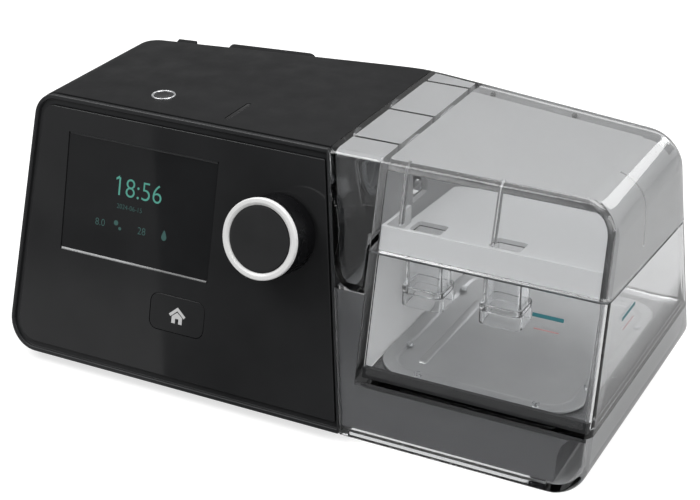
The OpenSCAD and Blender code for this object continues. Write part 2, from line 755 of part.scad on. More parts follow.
// ---- lid ----
strip_low = dock_top + 0.9;
strip_wall = 1.8;
RIB_Y = [-23.4, 8.9, 44.6];
rib_t = 1.4;
strip_r = 8;              // its lower left corner
strip_turn = [side_x(strip_low + strip_r) + gap + strip_r / cos(side_tilt), strip_low + strip_r];
module lid_shell() color([0.85, 0.88, 0.9, 0.4]) {
    difference() {
        intersection() {
            clear_body();
            union() {
                above_split(0.4);
                span([-reach, -reach, strip_low], [tub_x - gap, 13.6, reach]);
            }
        }
        // main hollow
        intersection() {
            envelope(clear_wall);
            span([tub_end, -reach, 0], [reach, reach, reach]);
        }
        // hollow of the left strip, between its ribs
        difference() {
            intersection() {
                envelope(clear_wall);
                right_of(gap + strip_wall);
                union() {
                    span([-reach, -reach, 0], [tub_x - gap - 1.4, reach, reach]);
                    span([-reach, -reach, 84], [tub_x, reach, reach]);
                }
            }
            intersection() {
                below_split(-2.4);
                span([0, 13.6, 0], [tub_x, reach, reach]);
            }
            for (y = RIB_Y) span([0, y - rib_t / 2, 84], [tub_x, y + rib_t / 2, reach]);
            span([0, -reach, 0], [tub_x, 13.6, strip_low + 1.8]);
            span([0, 11.8, 0], [tub_x, 13.6, 84]);
        }
        for (y = PORT_Y) on_side(y, port_z, -3) cylinder(r = port_r, h = 8);
        for (y = PORT_Y) translate([20, y - 7, 84]) cube([tub_end - 15, 14, 16]);
        // rounded lower left corner of the front strip
        translate([strip_turn.x, 0, strip_turn.y]) rotate([90, 0, 0]) difference() {
            translate([-strip_r - 4, -strip_r - 2, 0])
                cube([strip_r + 4, strip_r + 2 + strip_r * sin(side_tilt), 90]);
            translate([0, 0, -1]) cylinder(r = strip_r, h = 92);
        }
    }
    for (x = [44.7, 83]) intersection() {
        difference() {
            slab(clear_wall - 0.2, 0);
            slab(clear_wall + 3, 0);
        }
        span([x - 0.6, -reach, 89.5], [x + 0.6, 0, top_z - 2]);
    }
    intersection() {
        difference() {
            envelope(clear_wall - 0.2);
            prism(clear_wall + 1.6);
        }
        span([118, -10, 84], [reach, -8.8, reach]);
    }
    for (x = [43, 82]) translate([x - 0.8, rear_y(x, 108) - clear_wall - 2.2, 106]) cube([1.6, 2.6, 4]);
    for (u = HINGE_U) knuckle(u - 3.9, u + 3.9, 1);
}

baffle_t = 1.8;
DROP_X = [46.8, 80.4];
drop_y = -21.5;
drop_low = 46;
module baffle_solid(g0, g1, d) intersection() {
    envelope(clear_wall + d);
    span([tub_end + d, -reach, 0], [reach, reach, reach]);
    above_split(g0);
    below_split(-g1);
}
module lid_baffle() color([0.85, 0.88, 0.9, 0.4]) difference() {
    union() {
        baffle_solid(0.6, 0.6 + baffle_t, 0.3);
        difference() {
            baffle_solid(0.6, 10, 0.3);
            baffle_solid(0, 20, 1.7);
            span([0, -20, 0], [reach, reach, reach]);
        }
        for (x = DROP_X) {
            span([x - 8, drop_y - 6.5, 53], [x + 8, drop_y + 6.5, split_at(drop_y) + 1]);
            span([x - 9.2, drop_y - 7.7, drop_low], [x + 9.2, drop_y + 7.7, 54.6]);
        }
    }
    for (x = DROP_X) {
        span([x - 6.6, drop_y - 5.1, 40], [x + 6.6, drop_y + 5.1, 90]);
        span([x - 7.8, drop_y - 6.3, 40], [x + 7.8, drop_y + 6.3, 51.6]);
    }
}

module lid_seal() color("#55595c") intersection() {
    difference() {
        envelope(0.6);
        intersection() {
            envelope(1.9);
            span([tub_x + 1.9, -reach, 0], [reach, reach, reach]);
        }
    }
    span([tub_x + 0.6, -reach, 0], [reach, reach, reach]);
    above_split(-0.38);
    below_split(-0.4);
}

main_casing();
base_pan();
front_frame();
front_panel();
display_window();
display_module();
control_board();
encoder();
home_switch();
button_board();
start_switch();
start_ring();
sensor_strip();
dock_wall();
dock_seals();
heater_platform();
heater_plate();
heater_pad();
supply_duct();
return_duct();
air_outlet();
intake_box();
silencer_foam();
blower_housing();
blower_cover();
blower_mounts();
motor_stator();
main_board();
power_inlet();
card_reader();
air_filter();
feet();
base_screws();
knob_plunger();
knob_shaft();
knob_cap();
knob_face();
knob_ring();
home_button();
start_button();
impeller();
motor_rotor();
filter_cover();
card_door();
card_door_pin();
tank_shell();
tank_plate();
plate_seal();
plate_stakes();
base_frame();
hinge_pins();
lid_shell();
lid_baffle();
lid_seal();
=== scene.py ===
# %% [markdown]
# # A bedside breathing machine with a clear water chamber
# The black main unit on the left holds the blower, the screen and the knob. The clear
# chamber on the right slides off a heated platform, and its lid hinges at the rear.
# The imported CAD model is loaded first: its bodies are what every piece below rides on.

# %% Load the frame
import math

import bmesh
import bpy
import numpy as np
from mathutils import Matrix


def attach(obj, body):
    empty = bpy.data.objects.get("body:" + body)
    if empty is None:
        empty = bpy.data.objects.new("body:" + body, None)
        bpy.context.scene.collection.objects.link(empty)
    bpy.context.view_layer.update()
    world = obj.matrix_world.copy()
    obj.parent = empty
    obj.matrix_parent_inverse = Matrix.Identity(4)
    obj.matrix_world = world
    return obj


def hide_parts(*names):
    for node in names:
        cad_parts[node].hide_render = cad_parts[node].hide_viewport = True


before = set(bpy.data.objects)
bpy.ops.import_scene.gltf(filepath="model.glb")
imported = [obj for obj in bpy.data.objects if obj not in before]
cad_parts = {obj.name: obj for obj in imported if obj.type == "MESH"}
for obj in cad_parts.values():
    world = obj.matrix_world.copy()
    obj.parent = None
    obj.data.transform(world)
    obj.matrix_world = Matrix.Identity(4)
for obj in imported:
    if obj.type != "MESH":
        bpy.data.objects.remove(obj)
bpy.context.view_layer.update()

# %% [markdown]
# ## The measures that every piece shares
# They repeat the CAD's driving dimensions in millimetres: the leaning front plane, the
# rear that is a shallow roof in plan, the slanted side between the black unit and the
# clear chamber, and the sloping split between chamber and lid. With these as functions,
# each piece is cut from the same imaginary block as its neighbours, so the gaps match.

# %% Planes and outline
FOOT, TOP = 5.0, 113.9
LEAN = math.radians(14.7)
FRONT_EDGE_Y = -69.5
CORNERS = np.array([[-132.5, FOOT], [132.5, FOOT], [130.3, TOP], [-126.4, TOP]])
CORNER_R = np.array([13.5, 12.0, 14.0, 9.5])
RIDGE_X, RIDGE_SOFT = 8.0, 6.0
SIDE_LOW_X, SIDE_TOP_X = 30.1, 11.3
WALL = 2.4


def front_y(z):
    """y of the leaning front plane at height z."""
    return FRONT_EDGE_Y + (z - FOOT) * math.tan(LEAN)


def rear_y(x, z):
    """y of the rear face: a straight blend in z between two softened roof lines in x."""
    roof = np.sqrt((x - RIDGE_X) ** 2 + RIDGE_SOFT**2) - RIDGE_SOFT
    low = 70.0 - 0.033 * roof
    high = 57.2 - np.where(x < RIDGE_X, 0.163, 0.196) * roof
    t = (z - FOOT) / (TOP - FOOT)
    return low * (1 - t) + high * t


def side_x(z):
    """x of the slanted boundary between the black unit and the chamber."""
    return SIDE_LOW_X - (z - FOOT) * (SIDE_LOW_X - SIDE_TOP_X) / (TOP - FOOT)


def split_z(y):
    """Height of the split between chamber and lid, which falls 3.6 degrees to the rear."""
    return 78.5 - (y + 50.0) * math.tan(math.radians(3.6))


def unit(v):
    """Vectors of length 1 along v: each divided by the root of its squares' sum."""
    return v / np.linalg.norm(v, axis=-1, keepdims=True)


def moved_in(corners, d):
    """Corners of an anticlockwise polygon whose edges are moved in by d, one value or one
    per edge: each new corner solves normal . q = d for the two edges that meet there."""
    ahead = unit(np.roll(corners, -1, 0) - corners)
    n2 = np.stack([-ahead[:, 1], ahead[:, 0]], 1)
    n1 = np.roll(n2, 1, 0)
    d2 = np.broadcast_to(np.asarray(d, float), len(corners))[:, None]
    d1 = np.roll(d2, 1, 0)
    c = (n1 * n2).sum(1, keepdims=True)
    return corners + ((d1 - c * d2) * n1 + (d2 - c * d1) * n2) / (1 - c * c)


def rounded(corners, radii, steps=12, closed=True):
    """A polygon, or an open line with closed=False, with each corner replaced by the arc
    tangent to both its edges: the centre lies on the bisector, r / sin(half the corner's
    angle) away, and the arc turns the way the line does."""
    corners = np.asarray(corners, float)
    r = np.broadcast_to(np.asarray(radii, float), len(corners))[:, None]
    u = unit(np.roll(corners, 1, 0) - corners)
    v = unit(np.roll(corners, -1, 0) - corners)
    half = np.arccos(np.clip((u * v).sum(1, keepdims=True), -1, 1)) / 2
    turn = np.sign(u[:, 1:] * v[:, :1] - u[:, :1] * v[:, 1:])
    centre = corners + unit(u + v) * r / np.sin(half)
    start = corners + u * r / np.tan(half) - centre
    sweep = turn * (np.pi - 2 * half) * np.linspace(0, 1, steps + 1)
    angle = np.arctan2(start[:, 1:], start[:, :1]) + sweep
    arc = centre[:, None] + r[:, None] * np.stack([np.cos(angle), np.sin(angle)], -1)
    if closed:
        return arc.reshape(-1, 2)
    return np.concatenate([corners[:1], arc[1:-1].reshape(-1, 2), corners[-1:]])


def edge_x(z, right, d=0.0):
    """x of the housing's left or right end at height z, corner arcs included, moved in by d."""
    pts = rounded(moved_in(CORNERS, d), np.maximum(CORNER_R - d, 0.5), 16)
    side = pts[17:51] if right else np.concatenate([pts[51:], pts[:17]])[::-1]
    return np.interp(z, side[:, 1], side[:, 0])


def rise(low, r, steps):
    """Heights up a rounded lower edge of radius r: low + r (1 - cos a), a from 0 to 90."""
    return low + r * (1 - np.cos(np.radians(np.linspace(0, 90, steps + 1))))


def crown(top, r, steps):
    """Heights up a rounded upper edge of radius r: top - r (1 - sin a), a from 0 to 90."""
    return top - r * (1 - np.sin(np.radians(np.linspace(0, 90, steps + 1))))


print("front leans", round(math.degrees(LEAN), 1), "degrees; split at the front", split_z(-50.0), "mm")

# %% [markdown]
# ## From arrays to pieces
# A shape here is a grid of rows: each row is one closed ring of points, and quads join
# each row to the next. `surface` makes the quads and caps with whole arrays, and turns
# them outwards by the sign of the volume that they enclose. `make_piece` puts the result
# into a mesh and hands it to its CAD body.

# %% Surface and piece helpers
MM = 0.001


def signed_volume(points, faces):
    """Volume inside a closed mesh: the sum of the tetrahedra from the origin to each
    triangle of each face's fan. It is negative if the faces point inwards."""
    total = 0.0
    for n in {len(f) for f in faces}:
        f = points[np.array([f for f in faces if len(f) == n])]
        for k in range(1, n - 1):
            total += np.einsum("ij,ij->", f[:, 0], np.cross(f[:, k], f[:, k + 1])) / 6
    return total


def surface(rows, loop=False, caps=(True, True), inward=False):
    """Closed surface through rows of rings, shape (rows, points in a ring, 3).
    loop joins the last row to the first. caps close the first and last ring."""
    rows = np.asarray(rows, float)
    count, ring = rows.shape[:2]
    index = np.arange(count * ring).reshape(count, ring)
    low, high = (index, np.roll(index, -1, 0)) if loop else (index[:-1], index[1:])
    quads = np.stack([low, np.roll(low, -1, 1), np.roll(high, -1, 1), high], -1).reshape(-1, 4)
    faces = quads.tolist()
    if not loop:
        faces += [index[0][::-1].tolist()] * caps[0] + [index[-1].tolist()] * caps[1]
    points = rows.reshape(-1, 3)
    if (signed_volume(points, faces) < 0) != inward:
        faces = [f[::-1] for f in faces]
    return points, faces


def joined(*parts):
    """Several (points, faces) as one."""
    points, faces, start = [], [], 0
    for p, f in parts:
        points.append(p)
        faces += [[i + start for i in face] for face in f]
        start += len(p)
    return np.concatenate(points), faces


def mesh_object(name, part):
    """A Blender object from (points in mm, faces), with its poles and seams closed."""
    points, faces = part
    mesh = bpy.data.meshes.new(name)
    mesh.from_pydata((points * MM).tolist(), [], faces)
    obj = bpy.data.objects.new(name, mesh)
    bpy.context.scene.collection.objects.link(obj)
    bm = bmesh.new()
    bm.from_mesh(mesh)
    bmesh.ops.remove_doubles(bm, verts=bm.verts, dist=1e-6)
    bm.to_mesh(mesh)
    bm.free()
    return obj


def smooth(obj, angle=32):
    """Smooth shading that stays sharp across edges steeper than angle."""
    obj.data.shade_smooth()
    obj.data.set_sharp_from_angle(angle=math.radians(angle))


def flatten_normals(obj):
    """Leans each normal to the largest face that meets there, so a flat face mirrors flat up
    to its rim."""
    bpy.context.view_layer.objects.active = obj
    mod = obj.modifiers.new("flat stays flat", "WEIGHTED_NORMAL")
    mod.keep_sharp = True
    bpy.ops.object.modifier_apply(modifier=mod.name)


def make_piece(name, part, body, material, stands_for=(), angle=32):
    """One finished piece: mesh, shading, material, body and the nodes it stands for."""
    obj = mesh_object(name, part) if isinstance(part, tuple) else part
    smooth(obj, angle)
    obj.data.materials.clear()
    obj.data.materials.append(material)
    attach(obj, body)
    if stands_for:
        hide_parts(*stands_for)
    print(f"{name}: {len(obj.data.polygons)} faces, on {body}")
    return obj


def boolean(obj, operation, parts):
    """Puts each (points, faces) solid to obj by an exact boolean, and removes it."""
    for part in parts:
        tool = mesh_object("tool", part)
        bpy.context.view_layer.objects.active = obj
        mod = obj.modifiers.new("boolean", "BOOLEAN")
        mod.operation, mod.solver, mod.object = operation, "EXACT", tool
        bpy.ops.object.modifier_apply(modifier=mod.name)
        bpy.data.objects.remove(tool)


def cut(obj, *parts):
    """Takes each solid out of obj."""
    boolean(obj, "DIFFERENCE", parts)


def add(obj, *parts):
    """Joins each solid to obj as one skin."""
    boolean(obj, "UNION", parts)


# %% [markdown]
# ## Local frames
# The front and rear faces lean, so a button or a cover is drawn flat, with x across,
# y up the face and z out of it, and then carried to its place. A frame here is an origin
# and three axes, and `placed` is the whole transformation: origin + points times axes.

# %% Frames on the front, rear, top and side
SIN, COS = math.sin(LEAN), math.cos(LEAN)
FRONT_AXES = np.array([[1, 0, 0], [0, SIN, COS], [0, -COS, SIN]])
UPRIGHT = np.eye(3)


def on_front(x, s):
    """Frame on the front plane: s is measured up the slope from the bottom edge."""
    return np.array([0, FRONT_EDGE_Y, FOOT]) + np.array([x, s, 0.0]) @ FRONT_AXES, FRONT_AXES


REAR_YAW, REAR_LEAN = math.radians(7.4), math.radians(11.3)


def on_rear(x, z):
    """Frame on the left rear face, seen from behind: x runs towards the knob's side."""
    c, s, e, f = math.cos(REAR_YAW), math.sin(REAR_YAW), math.sin(REAR_LEAN), math.cos(REAR_LEAN)
    axes = np.array([[-c, -s, 0], [s * e, -c * e, f], [-s * f, c * f, e]])
    return np.array([x, float(rear_y(x, z)), z]), axes


def upright(x, y, z):
    """Frame at a point, with the object's own axes."""
    return np.array([x, y, z], float), UPRIGHT


def placed(points, where):
    """Points of a frame in the object's own axes: origin + points times axes."""
    origin, axes = where
    return origin + np.asarray(points, float) @ axes


def prism(outline, z0, z1, where, edge=0.0, low_edge=0.0, steps=4):
    """Plate with a flat outline: the outline at z0 carried to z1. edge rounds the upper
    rim: at angle a of the quarter circle the outline is scaled in by edge (1 - cos a)
    and stands edge (1 - sin a) below the top."""
    outline = np.asarray(outline, float)
    a = np.linspace(0, np.pi / 2, steps + 1) if edge else np.zeros(1)
    b = np.linspace(np.pi / 2, 0, steps + 1) if low_edge else np.zeros(1)
    inset = np.concatenate([low_edge * (1 - np.cos(b)), edge * (1 - np.cos(a))])
    height = np.concatenate([z0 + low_edge * (1 - np.sin(b)), z1 - edge * (1 - np.sin(a))])
    ahead = unit(np.roll(outline, -1, 0) - outline)
    n2 = np.stack([-ahead[:, 1], ahead[:, 0]], 1)
    n1 = np.roll(n2, 1, 0)
    inward = (n1 + n2) / (1 + (n1 * n2).sum(1, keepdims=True))
    flat = outline[None] + inset[:, None, None] * inward[None]
    rows = np.concatenate([flat, np.broadcast_to(height[:, None, None], flat.shape[:2] + (1,))], 2)
    return surface(placed(rows, where))


def rectangle(w, h, r, cx=0.0, cy=0.0, steps=8):
    """Anticlockwise rounded rectangle about (cx, cy)."""
    corners = np.array([[-w, -h], [w, -h], [w, h], [-w, h]]) / 2 + [cx, cy]
    return rounded(corners, r, steps)


def turned(profile, where, n=96):
    """Lathe shape: profile is a closed loop or a pole-to-pole line of (radius, height)."""
    profile = np.asarray(profile, float)
    a = np.linspace(0, 2 * np.pi, n, endpoint=False)
    r, h = profile[:, :1], profile[:, 1:]
    rows = np.stack([r * np.cos(a), r * np.sin(a), np.broadcast_to(h, (len(profile), n))], -1)
    poles = profile[0, 0] == 0 and profile[-1, 0] == 0
    return surface(placed(rows, where), loop=not poles, caps=(False, False))


print("front frame z axis:", np.round(FRONT_AXES[2], 3), "rear:", np.round(on_rear(-65, 87)[1][2], 3))

# %% [markdown]
# ## Finishes
# Every finish is a Principled shader whose colour, roughness and bump vary a little with
# noise on Object coordinates, at the scale of the real grain. Moulded black plastic gets
# a fine spark-eroded grain, the front panel is polished, and the clear mouldings bend
# light, with a faint waviness. Values that are the same all over sit on the shader.

# %% Node helpers


def new_material(name, color, roughness, metallic=0.0, **sockets):
    """A Principled material. sockets names further inputs, with spaces as underscores."""
    mat = bpy.data.materials.new(name)
    mat.use_nodes = True
    shader = mat.node_tree.nodes["Principled BSDF"]
    shader.inputs["Base Color"].default_value = (*color, 1)
    shader.inputs["Roughness"].default_value = roughness
    shader.inputs["Metallic"].default_value = metallic
    for key, value in sockets.items():
        shader.inputs[key.replace("_", " ")].default_value = value
    return mat


def node(mat, kind, **values):
    """A new node in mat. values sets inputs, or else the node's own settings, by name."""
    n = mat.node_tree.nodes.new(kind)
    for key, value in values.items():
        if key in n.inputs:
            n.inputs[key].default_value = value
        else:
            setattr(n, key, value)
    return n


def noise(mat, scale, detail=2.0, stretch=(1, 1, 1)):
    """Noise on Object coordinates. scale is in waves per metre, so 2500 is 0.4 mm."""
    links = mat.node_tree.links
    coord = node(mat, "ShaderNodeTexCoord")
    mapping = node(mat, "ShaderNodeMapping")
    mapping.inputs["Scale"].default_value = stretch
    tex = node(mat, "ShaderNodeTexNoise", Scale=scale, Detail=detail)
    links.new(coord.outputs["Object"], mapping.inputs["Vector"])
    links.new(mapping.outputs["Vector"], tex.inputs["Vector"])
    return tex.outputs["Fac"]


def ranged(mat, value, low, high):
    """value between 0.3 and 0.7, where noise mostly lies, mapped to low and high."""
    m = node(mat, "ShaderNodeMapRange")
    for key, v in {"From Min": 0.3, "From Max": 0.7, "To Min": low, "To Max": high}.items():
        m.inputs[key].default_value = v
    mat.node_tree.links.new(value, m.inputs["Value"])
    return m.outputs["Result"]


# A Mix node has an A, a B and a result for every kind of value. These are the colours'.
MIX_A, MIX_B, MIX_RESULT = 6, 7, 2


def between(mat, value, a, b):
    """Colour that goes from a to b as value goes from 0 to 1."""
    mix = node(mat, "ShaderNodeMix", data_type="RGBA")
    mix.inputs[MIX_A].default_value, mix.inputs[MIX_B].default_value = (*a, 1), (*b, 1)
    mat.node_tree.links.new(value, mix.inputs["Factor"])
    return mix.outputs[MIX_RESULT]


def to_shader(mat, value, socket):
    """Links value to an input of the material's Principled shader."""
    mat.node_tree.links.new(value, mat.node_tree.nodes["Principled BSDF"].inputs[socket])


def bump(mat, value, depth_mm, strength=1.0):
    """Makes value a relief of depth_mm for the light, without moving the surface."""
    b = node(mat, "ShaderNodeBump", Strength=strength, Distance=depth_mm * MM)
    mat.node_tree.links.new(value, b.inputs["Height"])
    to_shader(mat, b.outputs["Normal"], "Normal")


def plastic(name, color, roughness, grain=2200.0, depth=0.02, spread=0.12, **sockets):
    """Moulded plastic: grain in waves per metre, depth of the grain in mm, and how far
    the colour drifts from place to place."""
    mat = new_material(name, color, roughness, **sockets)
    dark = [c * (1 - spread) for c in color]
    pale = [c * (1 + spread) for c in color]
    to_shader(mat, between(mat, ranged(mat, noise(mat, 30.0, 3.0), 0, 1), dark, pale), "Base Color")
    to_shader(mat, ranged(mat, noise(mat, 90.0, 4.0), roughness * 0.8, roughness * 1.2), "Roughness")
    bump(mat, noise(mat, grain, 2.0), depth)
    return mat


def metal(name, color, roughness, stretch=(1, 1, 1), scale=900.0, depth=0.004):
    """Bare or plated metal. stretch draws its grain out along an axis, as rolling does."""
    mat = new_material(name, color, roughness, metallic=1.0)
    dull = [c * 0.92 for c in color]
    to_shader(mat, between(mat, ranged(mat, noise(mat, 60.0, 3.0), 0, 1), dull, color), "Base Color")
    grain = noise(mat, scale, 3.0, stretch)
    to_shader(mat, ranged(mat, grain, roughness - 0.06, roughness + 0.06), "Roughness")
    bump(mat, grain, depth)
    return mat


def clear(name, tint, roughness, passes, wave, through=1.0):
    """Clear moulded plastic. Rays from lamps go straight through it, dimmed to passes, so
    that what stands inside is lit; every other ray is bent and reflected. wave is the
    height in mm of the surface's waviness. A frosted one has through below 1: it lets
    that part through and scatters the rest."""
    mat = new_material(name, tint, roughness, IOR=1.5, Transmission_Weight=through)
    tree = mat.node_tree
    bump(mat, noise(mat, 22.0, 1.0), wave, 0.35)
    to_shader(mat, ranged(mat, noise(mat, 40.0, 3.0), roughness * 0.9, roughness * 1.1), "Roughness")
    path = node(mat, "ShaderNodeLightPath")
    open_to_lamps = node(mat, "ShaderNodeBsdfTransparent")
    open_to_lamps.inputs["Color"].default_value = (passes, passes, passes, 1)
    mix = node(mat, "ShaderNodeMixShader")
    tree.links.new(path.outputs["Is Shadow Ray"], mix.inputs["Fac"])
    tree.links.new(tree.nodes["Principled BSDF"].outputs["BSDF"], mix.inputs[1])
    tree.links.new(open_to_lamps.outputs["BSDF"], mix.inputs[2])
    tree.links.new(mix.outputs["Shader"], tree.nodes["Material Output"].inputs["Surface"])
    return mat


# %% The finishes themselves
black_shell = plastic("black_shell", (0.0092, 0.0094, 0.0099), 0.46, 2600.0, 0.008, Specular_IOR_Level=0.12)
black_pan = plastic("black_pan", (0.010, 0.0103, 0.011), 0.55, 2000.0, 0.02, Specular_IOR_Level=0.2)
lip_plastic = plastic("lip_plastic", (0.018, 0.0185, 0.0195), 0.34, 2600.0, 0.004, Specular_IOR_Level=0.3)
panel_black = plastic("panel_black", (0.0180, 0.0183, 0.0190), 0.07, 700.0, 0.0003, Specular_IOR_Level=0.26)
screen_black = plastic("screen_black", (0.0125, 0.0128, 0.0135), 0.06, 500.0, 0.0003, Specular_IOR_Level=0.26)
button_black = plastic("button_black", (0.0165, 0.0168, 0.0175), 0.22, 2200.0, 0.003, Specular_IOR_Level=0.25)
knob_black = plastic("knob_black", (0.0035, 0.0035, 0.0040), 0.26, 1500.0, 0.003, Specular_IOR_Level=0.3)
knob_disc = plastic("knob_disc", (0.0240, 0.0243, 0.0250), 0.36, 1800.0, 0.003, Specular_IOR_Level=0.25)
ring_white = plastic("ring_white", (0.66, 0.66, 0.655), 0.28, 1800.0, 0.003, 0.02)
ring_chrome = metal("ring_chrome", (0.66, 0.67, 0.68), 0.42)
glyph_white = plastic("glyph_white", (0.48, 0.48, 0.48), 0.45, 1800.0, 0.002, 0.04)
slot_black = plastic("slot_black", (0.0015, 0.0015, 0.002), 0.08, 900.0, 0.001)
rubber = plastic("rubber", (0.012, 0.012, 0.012), 0.75, 1400.0, 0.04)
seal_grey = plastic("seal_grey", (0.10, 0.105, 0.11), 0.5, 1400.0, 0.01)
platform_grey = plastic("platform_grey", (0.058, 0.059, 0.062), 0.5, 2400.0, 0.004, 0.05,
                        Specular_IOR_Level=0.3)
trim_black = plastic("trim_black", (0.0070, 0.0073, 0.0080), 0.4, 2200.0, 0.005, Specular_IOR_Level=0.25)
plate_metal = metal("plate_metal", (0.46, 0.465, 0.47), 0.42, (1, 14, 1), 500.0)
heater_metal = metal("heater_metal", (0.55, 0.56, 0.58), 0.35, (1, 10, 1), 500.0)
steel = metal("steel", (0.56, 0.57, 0.58), 0.28)
lid_clear = clear("lid_clear", (0.90, 0.905, 0.91), 0.05, 0.93, 0.04)
tank_clear = clear("tank_clear", (0.93, 0.935, 0.94), 0.045, 0.91, 0.10)
baffle_milky = clear("baffle_milky", (0.50, 0.505, 0.51), 0.40, 0.82, 0.0, 0.25)
lid_frosted = clear("lid_frosted", (0.25, 0.253, 0.256), 0.45, 0.96, 0.0, 0.22)
# Painted shade: a nearly black tint for clear faces that are seen along their wall.
painted_dark_edge = clear("painted_dark_edge", (0.030, 0.031, 0.032), 0.25, 0.90, 0.0, 0.40)
# Painted shade: a grey tint for the tank's right skirt below the floor.
painted_shade_tank = clear("painted_shade_tank", (0.22, 0.223, 0.226), 0.40, 0.90, 0.0, 0.35)
# Painted light: a pale milky tint for the tub's inner left wall, which reads light.
painted_light_wall = clear("painted_light_wall", (0.80, 0.805, 0.81), 0.40, 0.90, 0.0, 0.30)
outlet_plastic = plastic("outlet_plastic", (0.030, 0.031, 0.033), 0.38, 2400.0, 0.01)
mark_teal = plastic("mark_teal", (0.02, 0.13, 0.15), 0.5, 1500.0, 0.004)
mark_red = plastic("mark_red", (0.35, 0.20, 0.20), 0.5, 1500.0, 0.004)
# Painted highlight: a pale grey that stands in for the studio's light mirrored in the screen's lower edge.
painted_reflection_edge = plastic("painted_reflection_edge", (0.16, 0.165, 0.17), 0.3, 2600.0, 0.002)


def fade_along_x(mat, x0, x1, a, b):
    """Base colour that goes from a at x0 to b at x1, both in mm, on Object coordinates."""
    split = node(mat, "ShaderNodeSeparateXYZ")
    mat.node_tree.links.new(node(mat, "ShaderNodeTexCoord").outputs["Object"], split.inputs["Vector"])
    m = node(mat, "ShaderNodeMapRange")
    m.inputs["From Min"].default_value, m.inputs["From Max"].default_value = x0 * MM, x1 * MM
    mat.node_tree.links.new(split.outputs["X"], m.inputs["Value"])
    to_shader(mat, between(mat, m.outputs["Result"], a, b), "Base Color")


# Painted reflection: the lower screen edge goes from pale to dark between x -78 and -58 mm, where the
# mirrored studio turns from light to dark.
fade_along_x(painted_reflection_edge, -78, -58, (0.20, 0.203, 0.206), (0.035, 0.036, 0.037))


def lit(name, color, strength):
    """A lit figure on the screen: its light drifts a little, as a backlight does."""
    mat = plastic(name, (0.01, 0.02, 0.02), 0.3, 900.0, 0.001, Emission_Strength=strength)
    dimmer = [c * 0.9 for c in color]
    to_shader(mat, between(mat, ranged(mat, noise(mat, 120.0), 0, 1), dimmer, color), "Emission Color")
    return mat


lit_teal = lit("lit_teal", (0.075, 0.30, 0.235), 1.0)
dim_teal = lit("dim_teal", (0.035, 0.095, 0.085), 0.8)

# %% [markdown]
# ## Camera
# The camera stands where the photograph's did. It could be placed by eye, but the
# object's straight edges and corners fix it better: the angles, the distance and the
# length of the lens below come from matching them, and one matrix holds them exactly.

# %% Camera
PHOTO_W = 700
FOCAL_PX = 1693.075
DISTANCE = 710.845
SENSOR_MM = 36.0
AZIMUTH, ELEVATION, ROLL = (math.radians(a) for a in (27.119, 26.386, -0.172))
TARGET = np.array([3.841, -7.549, 53.529])
back = np.array([math.sin(AZIMUTH) * math.cos(ELEVATION),
                 -math.cos(AZIMUTH) * math.cos(ELEVATION),
                 math.sin(ELEVATION)])
level_right = unit(np.cross(-back, [0, 0, 1]))
level_up = np.cross(level_right, -back)
right = math.cos(ROLL) * level_right + math.sin(ROLL) * level_up
up = -math.sin(ROLL) * level_right + math.cos(ROLL) * level_up
camera_data = bpy.data.cameras.new("camera")
camera_data.sensor_width = SENSOR_MM
camera_data.lens = FOCAL_PX * SENSOR_MM / PHOTO_W
camera = bpy.data.objects.new("camera", camera_data)
bpy.context.scene.collection.objects.link(camera)
place = np.eye(4)
place[:3, :3] = np.column_stack([right, up, back])
place[:3, 3] = (TARGET + DISTANCE * back) * MM
camera.matrix_world = Matrix(place.tolist())
bpy.context.scene.camera = camera
print("lens", round(camera_data.lens, 2), "mm")

# %% [markdown]
# ## Lamps and the white round the object
# Product photographs are lit by large soft boxes. Three stand at the left, above and at
# the right, and a small one behind draws the streak on the lid's arch. The world is a
# second, even light. It could be made brighter until it looks white, but that would wash
# the object out, so Light Path tells the rays apart: the world is white only where the
# camera or clear plastic looks at it, half as strong where it lights, and weaker still
# where it is mirrored.

# %% Lamps


def softbox(name, at, look_at, width, height, watts):
    """A rectangular lamp at `at`, in mm, turned to face look_at."""
    data = bpy.data.lights.new(name, "AREA")
    data.shape, data.size, data.size_y, data.energy = "RECTANGLE", width * MM, height * MM, watts
    lamp = bpy.data.objects.new(name, data)
    bpy.context.scene.collection.objects.link(lamp)
    z = unit(np.array(at, float) - np.array(look_at, float))
    x = unit(np.cross([0, 0, 1], z))
    m = np.eye(4)
    m[:3, :3] = np.column_stack([x, np.cross(z, x), z])
    m[:3, 3] = np.array(at) * MM
    lamp.matrix_world = Matrix(m.tolist())
    print(name, "softbox,", watts, "W")


softbox("key", (-500, -500, 900), (0, 0, 50), 700, 500, 7.5)
softbox("top", (150, 200, 1000), (30, 0, 60), 800, 500, 7.5)
softbox("right", (900, -300, 600), (60, 0, 60), 500, 500, 4)
softbox("rear_right", (350, 740, 590), (90, 0, 90), 260, 420, 1.3)

# %% World: white where it is seen, calmer where it lights and where it is mirrored
LIGHTS, LOOKS, CALMER_MIRRORED = 0.50, 1.0, -0.14
bpy.context.scene.view_settings.view_transform = "Standard"
world = bpy.data.worlds.new("studio")
bpy.context.scene.world = world
world.use_nodes = True
tree = world.node_tree
background = tree.nodes["Background"]
background.inputs["Color"].default_value = (1, 1, 1, 1)
path = tree.nodes.new("ShaderNodeLightPath")
seen = tree.nodes.new("ShaderNodeMath")
seen.operation = "MAXIMUM"
tree.links.new(path.outputs["Is Camera Ray"], seen.inputs[0])
tree.links.new(path.outputs["Is Transmission Ray"], seen.inputs[1])
level = tree.nodes.new("ShaderNodeMapRange")
level.inputs["To Min"].default_value, level.inputs["To Max"].default_value = LIGHTS, LOOKS
tree.links.new(seen.outputs["Value"], level.inputs["Value"])
calm = tree.nodes.new("ShaderNodeMath")
calm.operation = "MULTIPLY_ADD"
calm.inputs[1].default_value = CALMER_MIRRORED
tree.links.new(path.outputs["Is Glossy Ray"], calm.inputs[0])
tree.links.new(level.outputs["Result"], calm.inputs[2])
